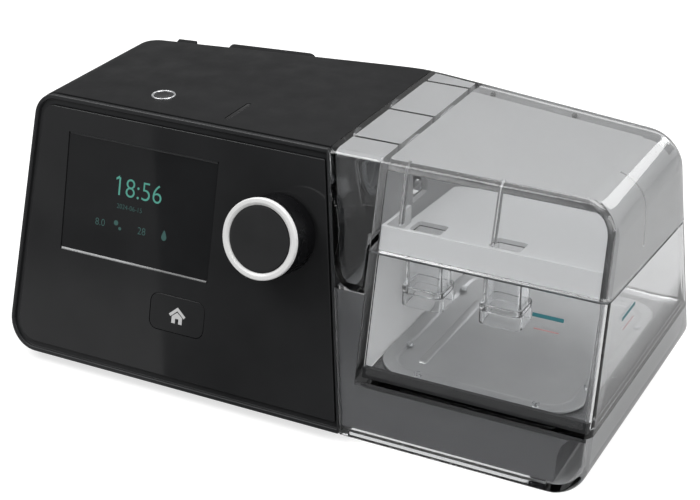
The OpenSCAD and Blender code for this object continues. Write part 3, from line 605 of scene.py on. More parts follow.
tree.links.new(calm.outputs["Value"], background.inputs["Strength"])

# %% [markdown]
# ## Floor and card
# The floor is a matt sheet that glows for the camera alone: it looks white and still
# takes the object's shadow. The polished front mirrors what stands before it, and in the
# studio that is a dark stretch with an upright edge. A black card gives the same
# reflection. Only mirroring rays meet it, so it shades and hides nothing.

# %% Floor
FLOOR_GREY, FLOOR_GLOW, FLOOR_HALF = 0.42, 0.70, 4000.0


def sheets(name, points, faces, material):
    """Flat sheets of the studio, from points in mm, which belong to no piece."""
    obj = mesh_object(name, (np.array(points, float), faces))
    obj.data.materials.append(material)
    return obj


floor_material = new_material("floor", (FLOOR_GREY,) * 3, 0.9, Specular_IOR_Level=0.0,
                              Emission_Color=(1, 1, 1, 1))
path = node(floor_material, "ShaderNodeLightPath")
glow = node(floor_material, "ShaderNodeMath", operation="MULTIPLY")
glow.inputs[1].default_value = FLOOR_GLOW
floor_material.node_tree.links.new(path.outputs["Is Camera Ray"], glow.inputs[0])
to_shader(floor_material, glow.outputs["Value"], "Emission Strength")
ground = [(-1, -1, 0), (1, -1, 0), (1, 1, 0), (-1, 1, 0)]
sheets("floor", np.array(ground) * FLOOR_HALF, [[0, 1, 2, 3]], floor_material)

# %% Card: upright, and lying on the floor as far as the front
CARD_Y, CARD_NEAR_Y, CARD_RIGHT, CARD_TOP = -300.0, -76.0, 160.0, 420.0
CARD_LEFT_LOW, CARD_LEFT_TOP, CARD_LEFT_NEAR = -187.0, -322.0, -54.0
card_black = new_material("card_black", (0.01, 0.01, 0.01), 0.9, Specular_IOR_Level=0.0)
standing = [(CARD_LEFT_LOW, CARD_Y, 0.5), (CARD_RIGHT, CARD_Y, 0.5),
            (CARD_RIGHT, CARD_Y, CARD_TOP), (CARD_LEFT_TOP, CARD_Y, CARD_TOP)]
lying = [(CARD_LEFT_NEAR, CARD_NEAR_Y, 0.4), (CARD_RIGHT - 10, CARD_NEAR_Y, 0.4),
         (CARD_RIGHT, CARD_Y + 0.1, 0.4), (CARD_LEFT_LOW, CARD_Y + 0.1, 0.4)]
card = sheets("card", standing + lying, [[0, 1, 2, 3], [4, 7, 6, 5]], card_black)
card.visible_camera = card.visible_diffuse = False
card.visible_transmission = card.visible_shadow = False

# %% [markdown]
# ## The black casing
# On the real machine this is one moulding, open at the front and below. It could be a
# box with rounded edges, but none of its sides is upright or square to the next. Seen
# from above it is a rounded quadrilateral whose sides move with height, so it is made of
# level rings, down the outside and up the inside. `plan_ring` says where on the
# quadrilateral each point lies, and `plan_points` carries it to any height. What opens
# in it is then taken out by exact booleans, as holes are in a real mould.

# %% Rings in plan


def plan_ring(r_fl, r_fr, r_rr, r_rl, n_front=24, n_side=12, n_rear=28, steps=6):
    """A rounded quadrilateral as (f, g, ex, ey) and its corner radii: f runs from left to
    right, g from front to rear, and ex, ey are the offsets from the corner's centre."""
    t = np.linspace
    q = [np.radians(t(a, a + 90, steps + 1))[1:-1] for a in (-90, 0, 90, 180)]
    ff, rf, gs = t(0, 1, n_front + 1), t(1, 0, n_rear + 1), t(0, 1, n_side + 1)
    gl = gs[::-1]
    one = np.ones
    f = [ff, one(steps - 1), one(n_side + 1), one(steps - 1), rf, 0 * q[2], 0 * gl, 0 * q[3]]
    g = [0 * ff, 0 * q[0], gs, one(steps - 1), one(n_rear + 1), one(steps - 1), gl, 0 * q[3]]
    ex = [0 * ff, r_fr * np.cos(q[0]), r_fr + (r_rr - r_fr) * gs, r_rr * np.cos(q[1]),
          0 * rf, r_rl * np.cos(q[2]), -(r_fl + (r_rl - r_fl) * gl), r_fl * np.cos(q[3])]
    ey = [-(r_fl + (r_fr - r_fl) * ff), r_fr * np.sin(q[0]), 0 * gs, r_rr * np.sin(q[1]),
          r_rl + (r_rr - r_rl) * rf, r_rl * np.sin(q[2]), 0 * gl, r_fl * np.sin(q[3])]
    return [np.concatenate(a) for a in (f, g, ex, ey)] + [(r_fl, r_fr, r_rr, r_rl)]


def plan_points(ring, z, left, right_end, front_in, rear_in, front=front_y, rear=rear_y):
    """Points of a ring at heights z, shape (rows, 1) or (rows, points). left and right_end
    are its ends there, and front_in, rear_in how far it stands in from front and rear."""
    f, g, ex, ey, (r_fl, r_fr, r_rr, r_rl) = ring
    z = z + 0 * f
    r_l, r_r = r_fl + (r_rl - r_fl) * g, r_fr + (r_rr - r_fr) * g
    r_f, r_b = r_fl + (r_fr - r_fl) * f, r_rl + (r_rr - r_rl) * f
    x = (left + r_l) * (1 - f) + (right_end - r_r) * f + ex
    y = (front(z) + front_in + r_f) * (1 - g) + (rear(x, z) - rear_in - r_b) * g + ey
    return np.stack([x, y, z], -1)


def fillet_in(z, top, r):
    """How far a rounded upper edge of radius r stands in at height z below top."""
    up_arc = np.clip(z - (top - r), 0, r)
    return r - np.sqrt(np.maximum(r * r - up_arc**2, 0))


def foot_in(z, low, r):
    """How far a rounded lower edge of radius r stands in at height z above low."""
    down = r - np.clip(z - low, 0, r)
    return r - np.sqrt(np.maximum(r * r - down**2, 0))


def column(*values):
    """Values and arrays one after another, as one column of heights."""
    return np.concatenate([np.atleast_1d(v) for v in values])[:, None].astype(float)


# %% Casing shell
FRAME_T = 2.4
CASING_WALL = 2.5
LEFT_CORNERS = np.array([[-132.5, FOOT], [SIDE_LOW_X, FOOT], [SIDE_TOP_X, TOP], [-126.4, TOP]])
LEFT_R = np.array([13.5, 0.8, 0.8, 9.5])
LOW_R, HIGH_R = 13.5, 9.5
z_out = column(rise(FOOT, LOW_R, 12), np.linspace(22, 102, 9), crown(TOP, HIGH_R, 12))
z_in = column(FOOT, 8.0, 8.4, rise(FOOT, LOW_R, 12)[6:], np.linspace(22, 98, 7),
              crown(TOP - CASING_WALL, HIGH_R - CASING_WALL, 12))
outer = plan_points(plan_ring(0.3, 0.3, 0.5, 5.0), z_out, edge_x(z_out, False), side_x(z_out),
                    FRAME_T / COS, fillet_in(z_out, TOP, 2.2))
at_pan = z_in < 8.2
inner = plan_points(plan_ring(0.3, 0.3, 0.5, 3.0), z_in,
                    np.where(at_pan, -118.0, edge_x(z_in, False, CASING_WALL)), side_x(z_in) - 2.4,
                    np.where(at_pan, 5.3, 4.9), np.where(at_pan, 5.3, CASING_WALL))
casing = mesh_object("casing_shell", surface(np.concatenate([outer[::-1], inner])))

# %% Where things sit on the casing
start_seat = upright(-76.0, -21.6, 0)
SENSOR_W, SENSOR_L = 1.8, 19.0
sensor_seat = upright(-39.3, -23.0, 0)
filter_seat = on_rear(-65.0, 87.0)
door_seat = on_rear(-104.0, 99.0)
PORT_Y, PORT_Z = (-8.0, 26.0), 94.0
tilt = math.atan((SIDE_LOW_X - SIDE_TOP_X) / (TOP - FOOT))
SIDE_AXES = np.array([[0, 1, 0], [-math.sin(tilt), 0, math.cos(tilt)], [math.cos(tilt), 0, math.sin(tilt)]])
OUTLET_R, OUTLET_BORE = 11.0, 9.0


def on_side(y, z):
    """Frame on the slanted side, z pointing towards the chamber."""
    return np.array([side_x(z), y, z]), SIDE_AXES


def along_y(x, z):
    """Frame that looks straight to the rear, its z measured as the object's y."""
    return np.array([x, 0.0, z]), np.array([[-1.0, 0, 0], [0, 0, 1], [0, 1, 0]])


outlet_seat, socket_seat = along_y(-20.0, 78.0), along_y(2.0, 19.0)


def rod(r, low, high, where, n=64):
    """Solid cylinder of radius r between two heights, for holes, pins and bores."""
    return turned([(0, low), (r, low), (r, high), (0, high)], where, n)


print("ports at y", PORT_Y, "mm; outlet", 2 * OUTLET_R, "mm across")

# %% Openings
window = rounded(moved_in(LEFT_CORNERS, [7, 5, 7, 7]), [7, 1, 1, 4])
front_opening = surface([np.column_stack([window[:, 0], front_y(window[:, 1]) + dy, window[:, 1]])
                         for dy in (-6.0, 9.0)])
platform_opening = prism(rectangle(60, 126, 1, 44, 1), -1, 9.2, upright(0, 0, 0))
cut(casing, front_opening, platform_opening,
    *[rod(11.5, -6, 6, on_side(y, PORT_Z)) for y in PORT_Y],
    rod(5.15, 105, 116, start_seat),
    prism(rectangle(SENSOR_W + 0.3, SENSOR_L + 0.3, 1), 105, 116, sensor_seat),
    prism(rectangle(42.8, 50.8, 3.4, 0, 1), -0.6, 9, filter_seat),
    prism(rectangle(36, 42, 3), -9, 9, filter_seat),
    prism(rectangle(15.8, 26.8, 0.6, 0, -1), -9, 9, door_seat),
    rod(OUTLET_R + 0.3, 40, 80, outlet_seat),
    rod(5.2, 50, 90, socket_seat))
add(casing, prism(rectangle(9.2, 1.6, 0.5, 0, 14.0), -1, 1.8, door_seat, edge=0.4))
make_piece("casing_shell", casing, "main", black_shell, ("main_casing", "dock_wall"))

# %% [markdown]
# ## Front frame and panel
# A narrow lip runs round the front, with a dark groove between it and the polished
# panel. A bevel on the casing would give the lip without the groove. Both follow the
# same outline, so the lip is one small profile of (how far in from the outline, how far
# out of the front plane) carried all the way round, and the panel is a plate with the
# outline moved in. The panel is a mirror, so its normals are flattened at the rim.

# %% Lip and groove


def front_outline(d, radii=LEFT_R):
    """The front's outline moved in by d, less so along the slanted side, as (x, s)."""
    pts = rounded(moved_in(LEFT_CORNERS, [d, 0.34 * d, d, d]), np.maximum(radii - d, 0.4), 14)
    return np.column_stack([pts[:, 0], (pts[:, 1] - FOOT) / COS])


def around_front(profile):
    """A closed profile of (inset, height over the front plane) carried round the outline."""
    rings = [(front_outline(d), n) for d, n in profile]
    rows = [np.column_stack([ring, np.full(len(ring), n)]) for ring, n in rings]
    return surface(placed(rows, on_front(0, 0)), loop=True)


lip_profile = rounded([(0, -2.4), (4.3, -2.4), (4.3, -1.4), (1.95, -1.4), (1.9, 0), (0, 0)],
                      [0.05, 0.05, 0.05, 0.25, 0.55, 0.75], 5)
make_piece("front_lip", around_front(lip_profile), "main", lip_plastic, ("front_frame",), 50)

# %% Panel with its openings
SCREEN_W, SCREEN_H = 72.7, 49.8
SCREEN_X, SCREEN_S = -108.7 + SCREEN_W / 2, 48.3 + SCREEN_H / 2
KNOB_R, KNOB_H = 16.25, 18.6
HOME_X, HOME_S = -48.85, 31.6
HOME_W, HOME_H, HOME_R = 26.4, 15.8, 4.0
screen_seat, home_seat = on_front(SCREEN_X, SCREEN_S), on_front(HOME_X, HOME_S)
knob_seat = on_front(-4.7, 75.8)
panel = mesh_object("front_panel_plate", prism(front_outline(4.45), -2.6, 0, on_front(0, 0), edge=0.35))
cut(panel,
    prism(rectangle(SCREEN_W, SCREEN_H + 0.8, 0.4), -5, 5, screen_seat),
    prism(rectangle(HOME_W, HOME_H, HOME_R), -5, 5, home_seat),
    rod(3.6, -5, 5, knob_seat))
flatten_normals(make_piece("front_panel_plate", panel, "main", panel_black, ("front_panel",)))

# %% [markdown]
# ## Screen
# A dark window sits just under the panel, inside a fine chamfered edge. Along its lower
# side the edge's colour is a painted reflection, pale at the left and fading to dark at
# the right. What it shows is a clock and a few small figures. They could be painted by a
# texture, but thin solids from Blender's own font stay sharp at any distance, so they are
# turned into a mesh and laid on the glass, where they glow.

# %% Window, its edge and the figures
EDGE_LINE = np.array([(-0.35, -0.9), (0.55, -0.9), (0.55, -0.42), (0.0, 0.02), (-0.35, 0.02)])


def screen_edge(name, side, material):
    """The chamfer along one long side of the screen: EDGE_LINE drawn from end to end."""
    line = EDGE_LINE * [side, 1]
    half = SCREEN_W / 2 - 0.6
    ends = [np.column_stack([np.full(5, x), SCREEN_S - side * SCREEN_H / 2 + line[:, 0], line[:, 1]])
            for x in (SCREEN_X - half, SCREEN_X + half)]
    make_piece(name, surface([placed(end, on_front(0, 0)) for end in ends]), "main", material)


# The lower edge carries the painted reflection; the upper one has the lip's own colour.
screen_edge("screen_edge_low", 1, painted_reflection_edge)
screen_edge("screen_edge_high", -1, lip_plastic)
glass = prism(rectangle(SCREEN_W - 0.5, SCREEN_H - 0.5, 0.4), -1.5, -0.42, screen_seat, edge=0.05)
flatten_normals(make_piece("screen_window", glass, "main", screen_black, ("display_window",)))


# %% What the screen shows
GLASS_TOP, FIGURE_TOP = -0.40, -0.37
FONT_CAP, FONT_WIDE = 0.73, 0.94


def figures(name, text, x, s, height, material):
    """Characters as thin flat solids on the window, height mm tall, starting at (x, s)."""
    curve = bpy.data.curves.new(name, "FONT")
    curve.body, curve.size, curve.extrude, curve.offset = text, 1.0, 0.01, -0.012
    obj = bpy.data.objects.new(name, curve)
    bpy.context.scene.collection.objects.link(obj)
    bpy.context.view_layer.update()
    mesh = bpy.data.meshes.new_from_object(obj.evaluated_get(bpy.context.evaluated_depsgraph_get()))
    bpy.data.objects.remove(obj)
    points = np.empty(len(mesh.vertices) * 3, np.float32)
    mesh.vertices.foreach_get("co", points)
    points = points.reshape(-1, 3).astype(float)
    points[:, :2] *= height / FONT_CAP
    points[:, 0] *= FONT_WIDE
    points[:, 2] = np.where(points[:, 2] > 0, FIGURE_TOP, GLASS_TOP)
    mesh.vertices.foreach_set("co", (placed(points, on_front(x, s)) * MM).ravel().astype(np.float32))
    mesh.update()
    piece = bpy.data.objects.new(name, mesh)
    bpy.context.scene.collection.objects.link(piece)
    return make_piece(name, piece, "main", material)


clock = figures("clock_figures", "18:56", -84.6, 76.0, 8.3, lit_teal)
clock_x = min(v.co.x for v in clock.data.vertices) / MM
figures("date_figures", "2024-06-15", -82.6, 70.6, 2.1, dim_teal)
figures("pressure_figures", "8.0", -92.6, 61.6, 3.2, dim_teal)
figures("warmth_figures", "28", -71.6, 61.6, 3.2, dim_teal)


def sign(name, outline, x, s, material):
    """A flat sign on the window, as thick as the figures."""
    make_piece(name, prism(outline, GLASS_TOP, FIGURE_TOP, on_front(x, s)), "main", material)


# The font's 1 is a bare stroke, so it gets the slanting flag of the one on the screen.
sign("clock_flag", [(0.2, 7.2), (0.2, 8.35), (-1.45, 7.25), (-1.45, 6.35)], clock_x, 76.0, lit_teal)
a = np.linspace(0, 2 * np.pi, 24, endpoint=False)
drop = np.column_stack([1.25 * np.sin(a) * (1 - 0.55 * np.clip(np.cos(a), 0, 1)), 1.5 * np.cos(a)])[::-1]
drop[:, 1] = np.where(drop[:, 1] > 0, drop[:, 1] * 1.9, drop[:, 1])
sign("drop_sign", drop, -58.6, 62.8, dim_teal)
disc = np.column_stack([np.cos(a), np.sin(a)])
sign("air_sign", disc * 1.1, -82.2, 64.2, dim_teal)
sign("air_sign_low", disc * 0.7, -80.2, 62.1, dim_teal)
print("screen", SCREEN_W, "x", SCREEN_H, "mm")

# %% [markdown]
# ## Buttons and knob
# The home button is a rounded plate let into the panel, with a small house on it. The
# knob is turned: a profile of (radius, height) spun round the front plane's normal. A
# cylinder with bevels would come close, but a profile gives the step for the pale ring
# and the groove behind it in one line that is easy to change. The start button in the
# top is turned the same way, and the light sensor beside it is a narrow smooth lens.

# %% Home button and its sign
GAP_ROUND = 0.2
home_outline = rectangle(HOME_W - 2 * GAP_ROUND, HOME_H - 2 * GAP_ROUND, HOME_R - GAP_ROUND)
home_plate = prism(home_outline, -2.3, -0.05, home_seat, edge=0.35)
home_key = joined(home_plate, rod(2.0, -5.5, -2.2, home_seat, 32))
flatten_normals(make_piece("home_key", home_key, "home_button", button_black, ("home_button",)))
roof = [(-4.0, 0.2), (0, 3.6), (4.0, 0.2), (3.2, -0.7), (0, 2.0), (-3.2, -0.7)]
house = [(-2.5, -3.4), (-0.8, -3.4), (-0.8, -1.3), (0.8, -1.3), (0.8, -3.4), (2.5, -3.4),
         (2.5, -0.5), (0, 1.4), (-2.5, -0.5)]
for name, outline in (("home_sign_roof", roof[::-1]), ("home_sign_house", house)):
    print_on_key = prism(rounded(outline, 0.12, 3), -0.06, 0.0, on_front(HOME_X + 0.2, HOME_S - 0.2))
    make_piece(name, print_on_key, "home_button", glyph_white)

# %% Knob
r, h = KNOB_R, KNOB_H
cap = rounded([(0, 14.1), (3, 14.1), (3, 1.6), (5.4, 1.6), (5.4, 15.6), (14.05, 15.6), (14.05, 1.6), (r, 1.6),
               (r, h - 2.05), (13.35, h - 2.05), (13.35, h - 0.6), (0, h - 0.6)],
              [0, 0.2, 0.1, 0.1, 0.5, 0.5, 0.3, 0.7, 0.15, 0.1, 0.2, 0], 4, closed=False)
make_piece("knob_body", turned(cap, knob_seat, 128), "knob", knob_black, ("knob_cap",))
light_ring = rounded([(13.35, h - 2), (r, h - 2), (r, h), (14.5, h), (13.35, h - 0.75)],
                     [0.1, 0.1, 0.55, 0.25, 0.12], 5)
make_piece("knob_light_ring", turned(light_ring, knob_seat, 128), "knob", ring_white,
           ("knob_ring",), 45)


def dished(r_edge, low, deep, steps):
    """Profile of a face that is lower by deep at its middle: low + deep (r / r_edge)^2."""
    at = np.linspace(0, r_edge, steps)
    return np.column_stack([at, low + deep * (at / r_edge) ** 2])[::-1]


face = np.concatenate([[(0, h - 0.6), (13.1, h - 0.6), (13.1, h - 0.32)], dished(12.7, h - 0.42, 0.2, 12)])
make_piece("knob_disc_face", turned(face, knob_seat, 128), "knob", knob_disc, ("knob_face",))

# %% Start button, its ring and the light sensor
ring_line = rounded([(4.2, TOP - 1.8), (5.1, TOP - 1.8), (5.1, TOP + 0.5), (4.2, TOP + 0.5)],
                    [0.05, 0.05, 0.3, 0.35], 5)
make_piece("start_bezel", turned(ring_line, start_seat), "main", ring_chrome,
           ("start_ring",), 45)
start_line = np.concatenate([[(0, TOP - 6.3), (1.6, TOP - 6.3), (1.6, TOP - 1.6), (4, TOP - 1.6)],
                             [(4, TOP - 0.15), (3.85, TOP + 0.08), (3.6, TOP + 0.18)],
                             dished(3.3, TOP - 0.05, 0.2, 8)])
start_key = turned(start_line, start_seat)
make_piece("start_key", start_key, "start_button", button_black, ("start_button",))
lens = prism(rectangle(SENSOR_W, SENSOR_L, 0.85), TOP - 2, TOP - 0.1, sensor_seat, edge=0.3)
make_piece("sensor_lens", lens, "main", slot_black, ("sensor_strip",))

# %% [markdown]
# ## Clear mouldings
# The chamber and its lid are two thick clear mouldings with softly rounded edges. A thin
# sheet with a see-through finish would be quicker, but the dark lines along every edge
# come from light that is bent inside the wall. So each is a true solid: a rounded block
# from which the hollow, the strip's cells and the doorways are taken out exactly. Both
# blocks end at the same sloping split, found by a few rounds of correction.

# %% A block between level rows, or up to the split
GAP = 0.4
TUB_X, TUB_END = 34.0, 36.4
SPLIT_ROUNDS, SPLIT_GUESS = 6, 76.0


def block(ring, z, left, right_end, front_in=0.0, rear_in=0.0,
          over_split=None, under_split=None, front=front_y, rear=rear_y):
    """Solid with level rings at heights z. left, right_end, front_in and rear_in may be
    functions of height. over_split adds a first ring that far above the split, and
    under_split a last one: its height is split_z of its own y, settled in six rounds."""
    def row(h):
        """The ring's points at heights h."""
        ends = [v(h) if callable(v) else v + 0 * h for v in (left, right_end, front_in, rear_in)]
        return plan_points(ring, h, *ends, front, rear)

    rows = [row(column(z))] if len(z) else []
    for offset in (over_split, under_split):
        if offset is not None:
            h = np.full((1, len(ring[0])), SPLIT_GUESS)
            for _ in range(SPLIT_ROUNDS):
                points = row(h)
                h = split_z(points[..., 1]) + offset
            rows = [points] + rows if offset is over_split else rows + [points]
    return surface(np.concatenate(rows))


def taken(obj):
    """An object's (points in mm, faces); the object itself is removed."""
    points = np.empty(len(obj.data.vertices) * 3, np.float32)
    obj.data.vertices.foreach_get("co", points)
    part = points.reshape(-1, 3).astype(float) / MM, [list(f.vertices) for f in obj.data.polygons]
    bpy.data.objects.remove(obj)
    return part


def box(low, high):
    """Plain block between two corners, for cutting."""
    low, high = np.array(low, float), np.array(high, float)
    mid, size = (low + high) / 2, high - low
    outline = np.array([[-1, -1], [1, -1], [1, 1], [-1, 1]]) * size[:2] / 2
    return prism(outline, low[2], high[2], upright(mid[0], mid[1], 0))


def right_wall(d):
    """The housing's right end moved in by d, as a function of height."""
    return lambda h: edge_x(h, True, d)


def casing_side(d):
    """The chamber's side next to the casing moved in by d, as a function of height."""
    return lambda h: side_x(h) + GAP + d


def front_at(y):
    """An upright front at y, in place of the leaning one."""
    return lambda z: y + 0 * z


def rear_at(y):
    """An upright rear at y."""
    return lambda x, z: y + 0 * z


def arch_heights(start, top, r, steps=20):
    """Heights from start to top that crowd together on the arch's radius r."""
    return np.concatenate([[start], crown(top, r, steps)])


soft_ring = plan_ring(1.0, 1.4, 1.6, 1.0, 16, 10, 16, 5)
sharp_ring = plan_ring(0.8, 0.8, 0.8, 0.8, 4, 4, 4, 4)
print("split falls from", round(split_z(-66.0), 1), "to", round(split_z(66.0), 1), "mm")

# %% [markdown]
# ## The lid
# The lid is a dome over the chamber with a flat strip of four cells beside it, which
# bridges the gap to the black unit and carries the air in. One block can't follow both,
# so the dome and the strip are two blocks joined, and then hollowed together.

# %% Lid: the dome and the strip beside it
dome = block(plan_ring(0.5, 3.2, 4.0, 0.5, 20, 12, 20, 8), arch_heights(84, TOP, 14), TUB_X, right_wall(0),
             lambda h: fillet_in(h, TOP, 3.0) / COS, lambda h: fillet_in(h, TOP, 2.4), over_split=0.4)
STRIP_LOW, STRIP_R = 62.1, 8.0


def strip_left(h):
    """The strip's left side, rounded in at its lower corner by a quarter circle."""
    return side_x(h) + GAP + foot_in(h, STRIP_LOW, STRIP_R)


strip_z = np.concatenate([rise(STRIP_LOW, STRIP_R, 10), arch_heights(84, TOP - 0.02, 3.0)])
strip = mesh_object("strip", block(
    plan_ring(1.0, 0.3, 0.3, 0.6, 6, 12, 6, 6), strip_z, strip_left, TUB_X + 0.15,
    lambda h: (0.02 + fillet_in(h, TOP, 3.0)) / COS, lambda h: 0.02 + fillet_in(h, TOP, 2.4)))
ACROSS = np.array([[0.0, 1, 0], [0, 0, 1], [1, 0, 0]])
STEP_Y = 13.6


def under_split(y0, y1, x0, x1):
    """Everything below the lid's lower face between two y, from x0 to x1."""
    outline = [[y0, 30.0], [y1, 30.0], [y1, split_z(y1) + 0.4], [y0, split_z(y0) + 0.4]]
    return prism(outline, x0, x1, (np.zeros(3), ACROSS))


cut(strip, under_split(STEP_Y, 100.0, -10, 50), under_split(-100.0, STEP_Y - 0.1, TUB_X - GAP, 50))
lid = mesh_object("clear_lid", dome)
add(lid, taken(strip))

# %% Lid: hollow, cells and doorways
REAR_BAND = 7.0
ROOF = TOP - WALL
hollow = block(plan_ring(1.0, 2.6, 1.6, 1.0, 16, 10, 16, 5),
               np.concatenate([[50.0], arch_heights(84, ROOF, 11.6), [ROOF + 0.02]]),
               TUB_END, right_wall(WALL), lambda h: (WALL + fillet_in(h, ROOF, 2.8)) / COS,
               lambda h: WALL + fillet_in(h, ROOF, 1.6) + np.where(h > ROOF + 0.01, REAR_BAND, 0))
RIB_Y, RIB_HALF = (-23.4, 8.9, 44.6), 0.7
cell_starts = (None, *[y + RIB_HALF for y in RIB_Y])
cell_ends = (*[y - RIB_HALF for y in RIB_Y], None)


def cell(y0, y1):
    """One cell of the strip between two y. None stands for the front or the rear wall."""
    z = np.concatenate([[84.0], arch_heights(90, ROOF, 2.0, 6)])
    front, front_in = (front_y, WALL / COS) if y0 is None else (front_at(y0), 0.0)
    rear, rear_in = (rear_y, WALL) if y1 is None else (rear_at(y1), 0.0)
    return block(sharp_ring, z, casing_side(1.8), 33.95, front_in, rear_in, front=front, rear=rear)


low_front = block(sharp_ring, [STRIP_LOW + 1.8, 66, 72, 84.5], lambda h: strip_left(h) + 1.85, 32.3,
                  2.45 / COS, 0, rear=rear_at(STEP_Y - 1.8))
low_rear = block(sharp_ring, [85.0], casing_side(1.85), 32.3, 0, 2.45, over_split=2.8, front=front_at(STEP_Y))
cut(lid, hollow, *[cell(y0, y1) for y0, y1 in zip(cell_starts, cell_ends)], low_front, low_rear,
    *[rod(9.0, -3, 5, on_side(y, PORT_Z)) for y in PORT_Y],
    *[box([30, y - 7, 85], [40, y + 7, 99]) for y in PORT_Y])
print("lid hollowed, with", len(cell_starts), "cells in its strip")

# %% [markdown]
# ## Ribs and hinge
# Two ribs stiffen the lid's front and one follows its arch, and knuckles at the rear
# take the steel pins. The rear runs aslant, so the hinge has a frame of its own along
# the line between its two ends. Modelled on that line, the lid turns without scraping.

# %% Lid: inner ribs and hinge knuckles
HINGE_A, HINGE_B = np.array([44.0, 61.09]), np.array([122.0, 50.58])
HINGE_Z = 71.84
hinge_dir = unit(HINGE_B - HINGE_A)
HINGE_AXES = np.array([[0, 0, 1.0], [-hinge_dir[1], hinge_dir[0], 0], [hinge_dir[0], hinge_dir[1], 0]])
HINGE_AXES[1] = np.cross(HINGE_AXES[2], HINGE_AXES[0])
HINGE_U = (14.0, float(np.linalg.norm(HINGE_B - HINGE_A)) - 14.0)


def on_hinge(u):
    """Frame at u along the hinge: x is up, y across it towards the tank, z along it."""
    return np.array([*(HINGE_A + u * hinge_dir), HINGE_Z]), HINGE_AXES


def knuckle(u, half, up_side):
    """A sleeve round the pin, turned along the hinge, and the bar that carries it."""
    sleeve = turned([(1.31, -half), (2.6, -half), (2.6, half), (1.31, half)], on_hinge(u), 40)
    bar = np.array([[1.4, -0.2], [3.4, -0.2], [3.4, 4.2], [1.4, 4.2]]) * [up_side, 1]
    return sleeve, prism(bar, 0.06 - half, half - 0.06, on_hinge(u))


def front_rib(x):
    """Upright rib behind the lid's front wall, standing 5.4 mm in from the front."""
    return block(plan_ring(0.25, 0.25, 0.25, 0.25, 1, 2, 1, 3), [89.5, 100, 111.6], x - 0.6, x + 0.6,
                 2.2 / COS, 0, rear=lambda x, z: front_y(z) + 5.4 / COS)


arch_start = rounded(CORNERS, CORNER_R, 32)[66]
centre = np.array([arch_start[0] - 14.0 * math.cos(math.radians(1.16)), TOP - 14.0])
a = np.radians(np.linspace(0, 80, 24))
bow = np.column_stack([np.cos(a), np.sin(a)])
foot_x = [edge_x(84.0, True, d) for d in (2.2, 4.0)]
arch_outline = np.concatenate([[[foot_x[0], 84.0]], centre + 11.8 * bow,
                               (centre + 10.0 * bow)[::-1], [[foot_x[1], 84.0]]])
FACING_FRONT = np.array([[1.0, 0, 0], [0, 0, 1], [0, -1, 0]])
arch_rib = prism(arch_outline, 8.8, 10.0, (np.zeros(3), FACING_FRONT), edge=0.2)
add(lid, front_rib(44.7), front_rib(83.0), arch_rib)
for u in HINGE_U:
    add(lid, *knuckle(u, 3.9, 1))
make_piece("clear_lid", lid, "lid", lid_clear, ("lid_shell",), 25)

# %% [markdown]
# ## Frosted insides and painted dark edges
# The roof of the real lid isn't as clear as glass: its inside is dulled, so it reads as
# an even grey, while the front wall stays clear. Where the eye looks along a wall, the
# plastic looks nearly black. More wall thickness would do the second, at the cost of
# true sizes, so here that darkness is painted shade: a nearly black tint on those faces.
# A few inner faces, picked by place and by normal, get finishes of their own.

# %% Another finish for some faces


def finish_faces(obj, material, chosen):
    """Gives another finish to the faces that chosen(centres in mm, normals) picks."""
    count = len(obj.data.polygons)
    centres, normals = np.empty(count * 3, np.float32), np.empty(count * 3, np.float32)
    obj.data.polygons.foreach_get("center", centres)
    obj.data.polygons.foreach_get("normal", normals)
    picked = chosen(centres.reshape(-1, 3) / MM, normals.reshape(-1, 3))
    index = np.empty(count, np.int32)
    obj.data.polygons.foreach_get("material_index", index)
    index[picked] = len(obj.data.materials)
    obj.data.materials.append(material)
    obj.data.polygons.foreach_set("material_index", index)
    print(obj.name, material.name, "on", int(picked.sum()), "faces")


def frosted_inside(c, n):
    """Inner faces of the lid's roof, arch and rear, but not of its front wall, nor of the
    roof's last few millimetres before the rear."""
    x, y, z = c.T
    behind_front = y > front_y(z) + 1.5
    deep = behind_front & (z < TOP - 1.5) & (x < edge_x(z, True) - 1.2) & (y < rear_y(x, z) - 1.2)
    band = (n[:, 2] < -0.6) & (y > rear_y(x, z) - WALL - REAR_BAND)
    roof_of_strip = (x < TUB_X) & (n[:, 2] < -0.7) & (z > 105)
    dome = (x > TUB_X) & (z > split_z(y) + 1.0) & (n[:, 1] < 0.3) & ((n[:, 0] < 0.5) | (x < 40))
    return deep & ((dome & ~band) | roof_of_strip)


def thick_edges(c, n):
    """Where the eye looks along the wall, the faces that get a painted dark tint: the
    rounding under the roof's front edge, the front right corner, and the left sides of
    the two ribs."""
    x, y, z = c.T
    near_front = (y > front_y(z) + 1.5) & (y < front_y(z) + 7.0) & (x > TUB_END) & (z > split_z(y) + 1.0)
    under_roof = (n[:, 1] > 0.15) & (n[:, 2] < -0.45) & (z > ROOF - 3)
    corner = (n[:, 1] > 0.2) & (n[:, 0] < -0.2) & (x > 100)
    rib_side = (n[:, 0] < -0.9) & (x < 90)
    return near_front & (under_roof | corner | rib_side)


finish_faces(lid, lid_frosted, frosted_inside)
# Painted shade: the nearly black tint where the eye looks along the lid's wall.
finish_faces(lid, painted_dark_edge, thick_edges)

# %% [markdown]
# ## The chamber
# The chamber is a tub with its own floor, on skirts that reach down round the heated
# platform. It could be an outer shell and an inner one stitched together. Cutting is
# simpler to follow: from one rounded block come the room under the floor, the seat for
# the frame, the way in for the platform, and the tub, with its floor rounded all round.

# %% Tank
FLOOR, FLOOR_R = 28.8, 1.6
tank_z = np.concatenate([rise(FOOT, 12.0, 18), [30, 50, 64]])
tank = mesh_object("clear_tank", block(
    plan_ring(0.4, 3.2, 4.0, 0.4, 24, 12, 24, 8), tank_z, casing_side(0), right_wall(0),
    lambda h: foot_in(h, FOOT, 0.6), 0.0, under_split=-0.4))


def open_left(ring, z, right_end, d):
    """Solid for cutting, open to the left, that stands d in from the front and rear."""
    return block(ring, z, -20.0, right_end, d / COS, d)


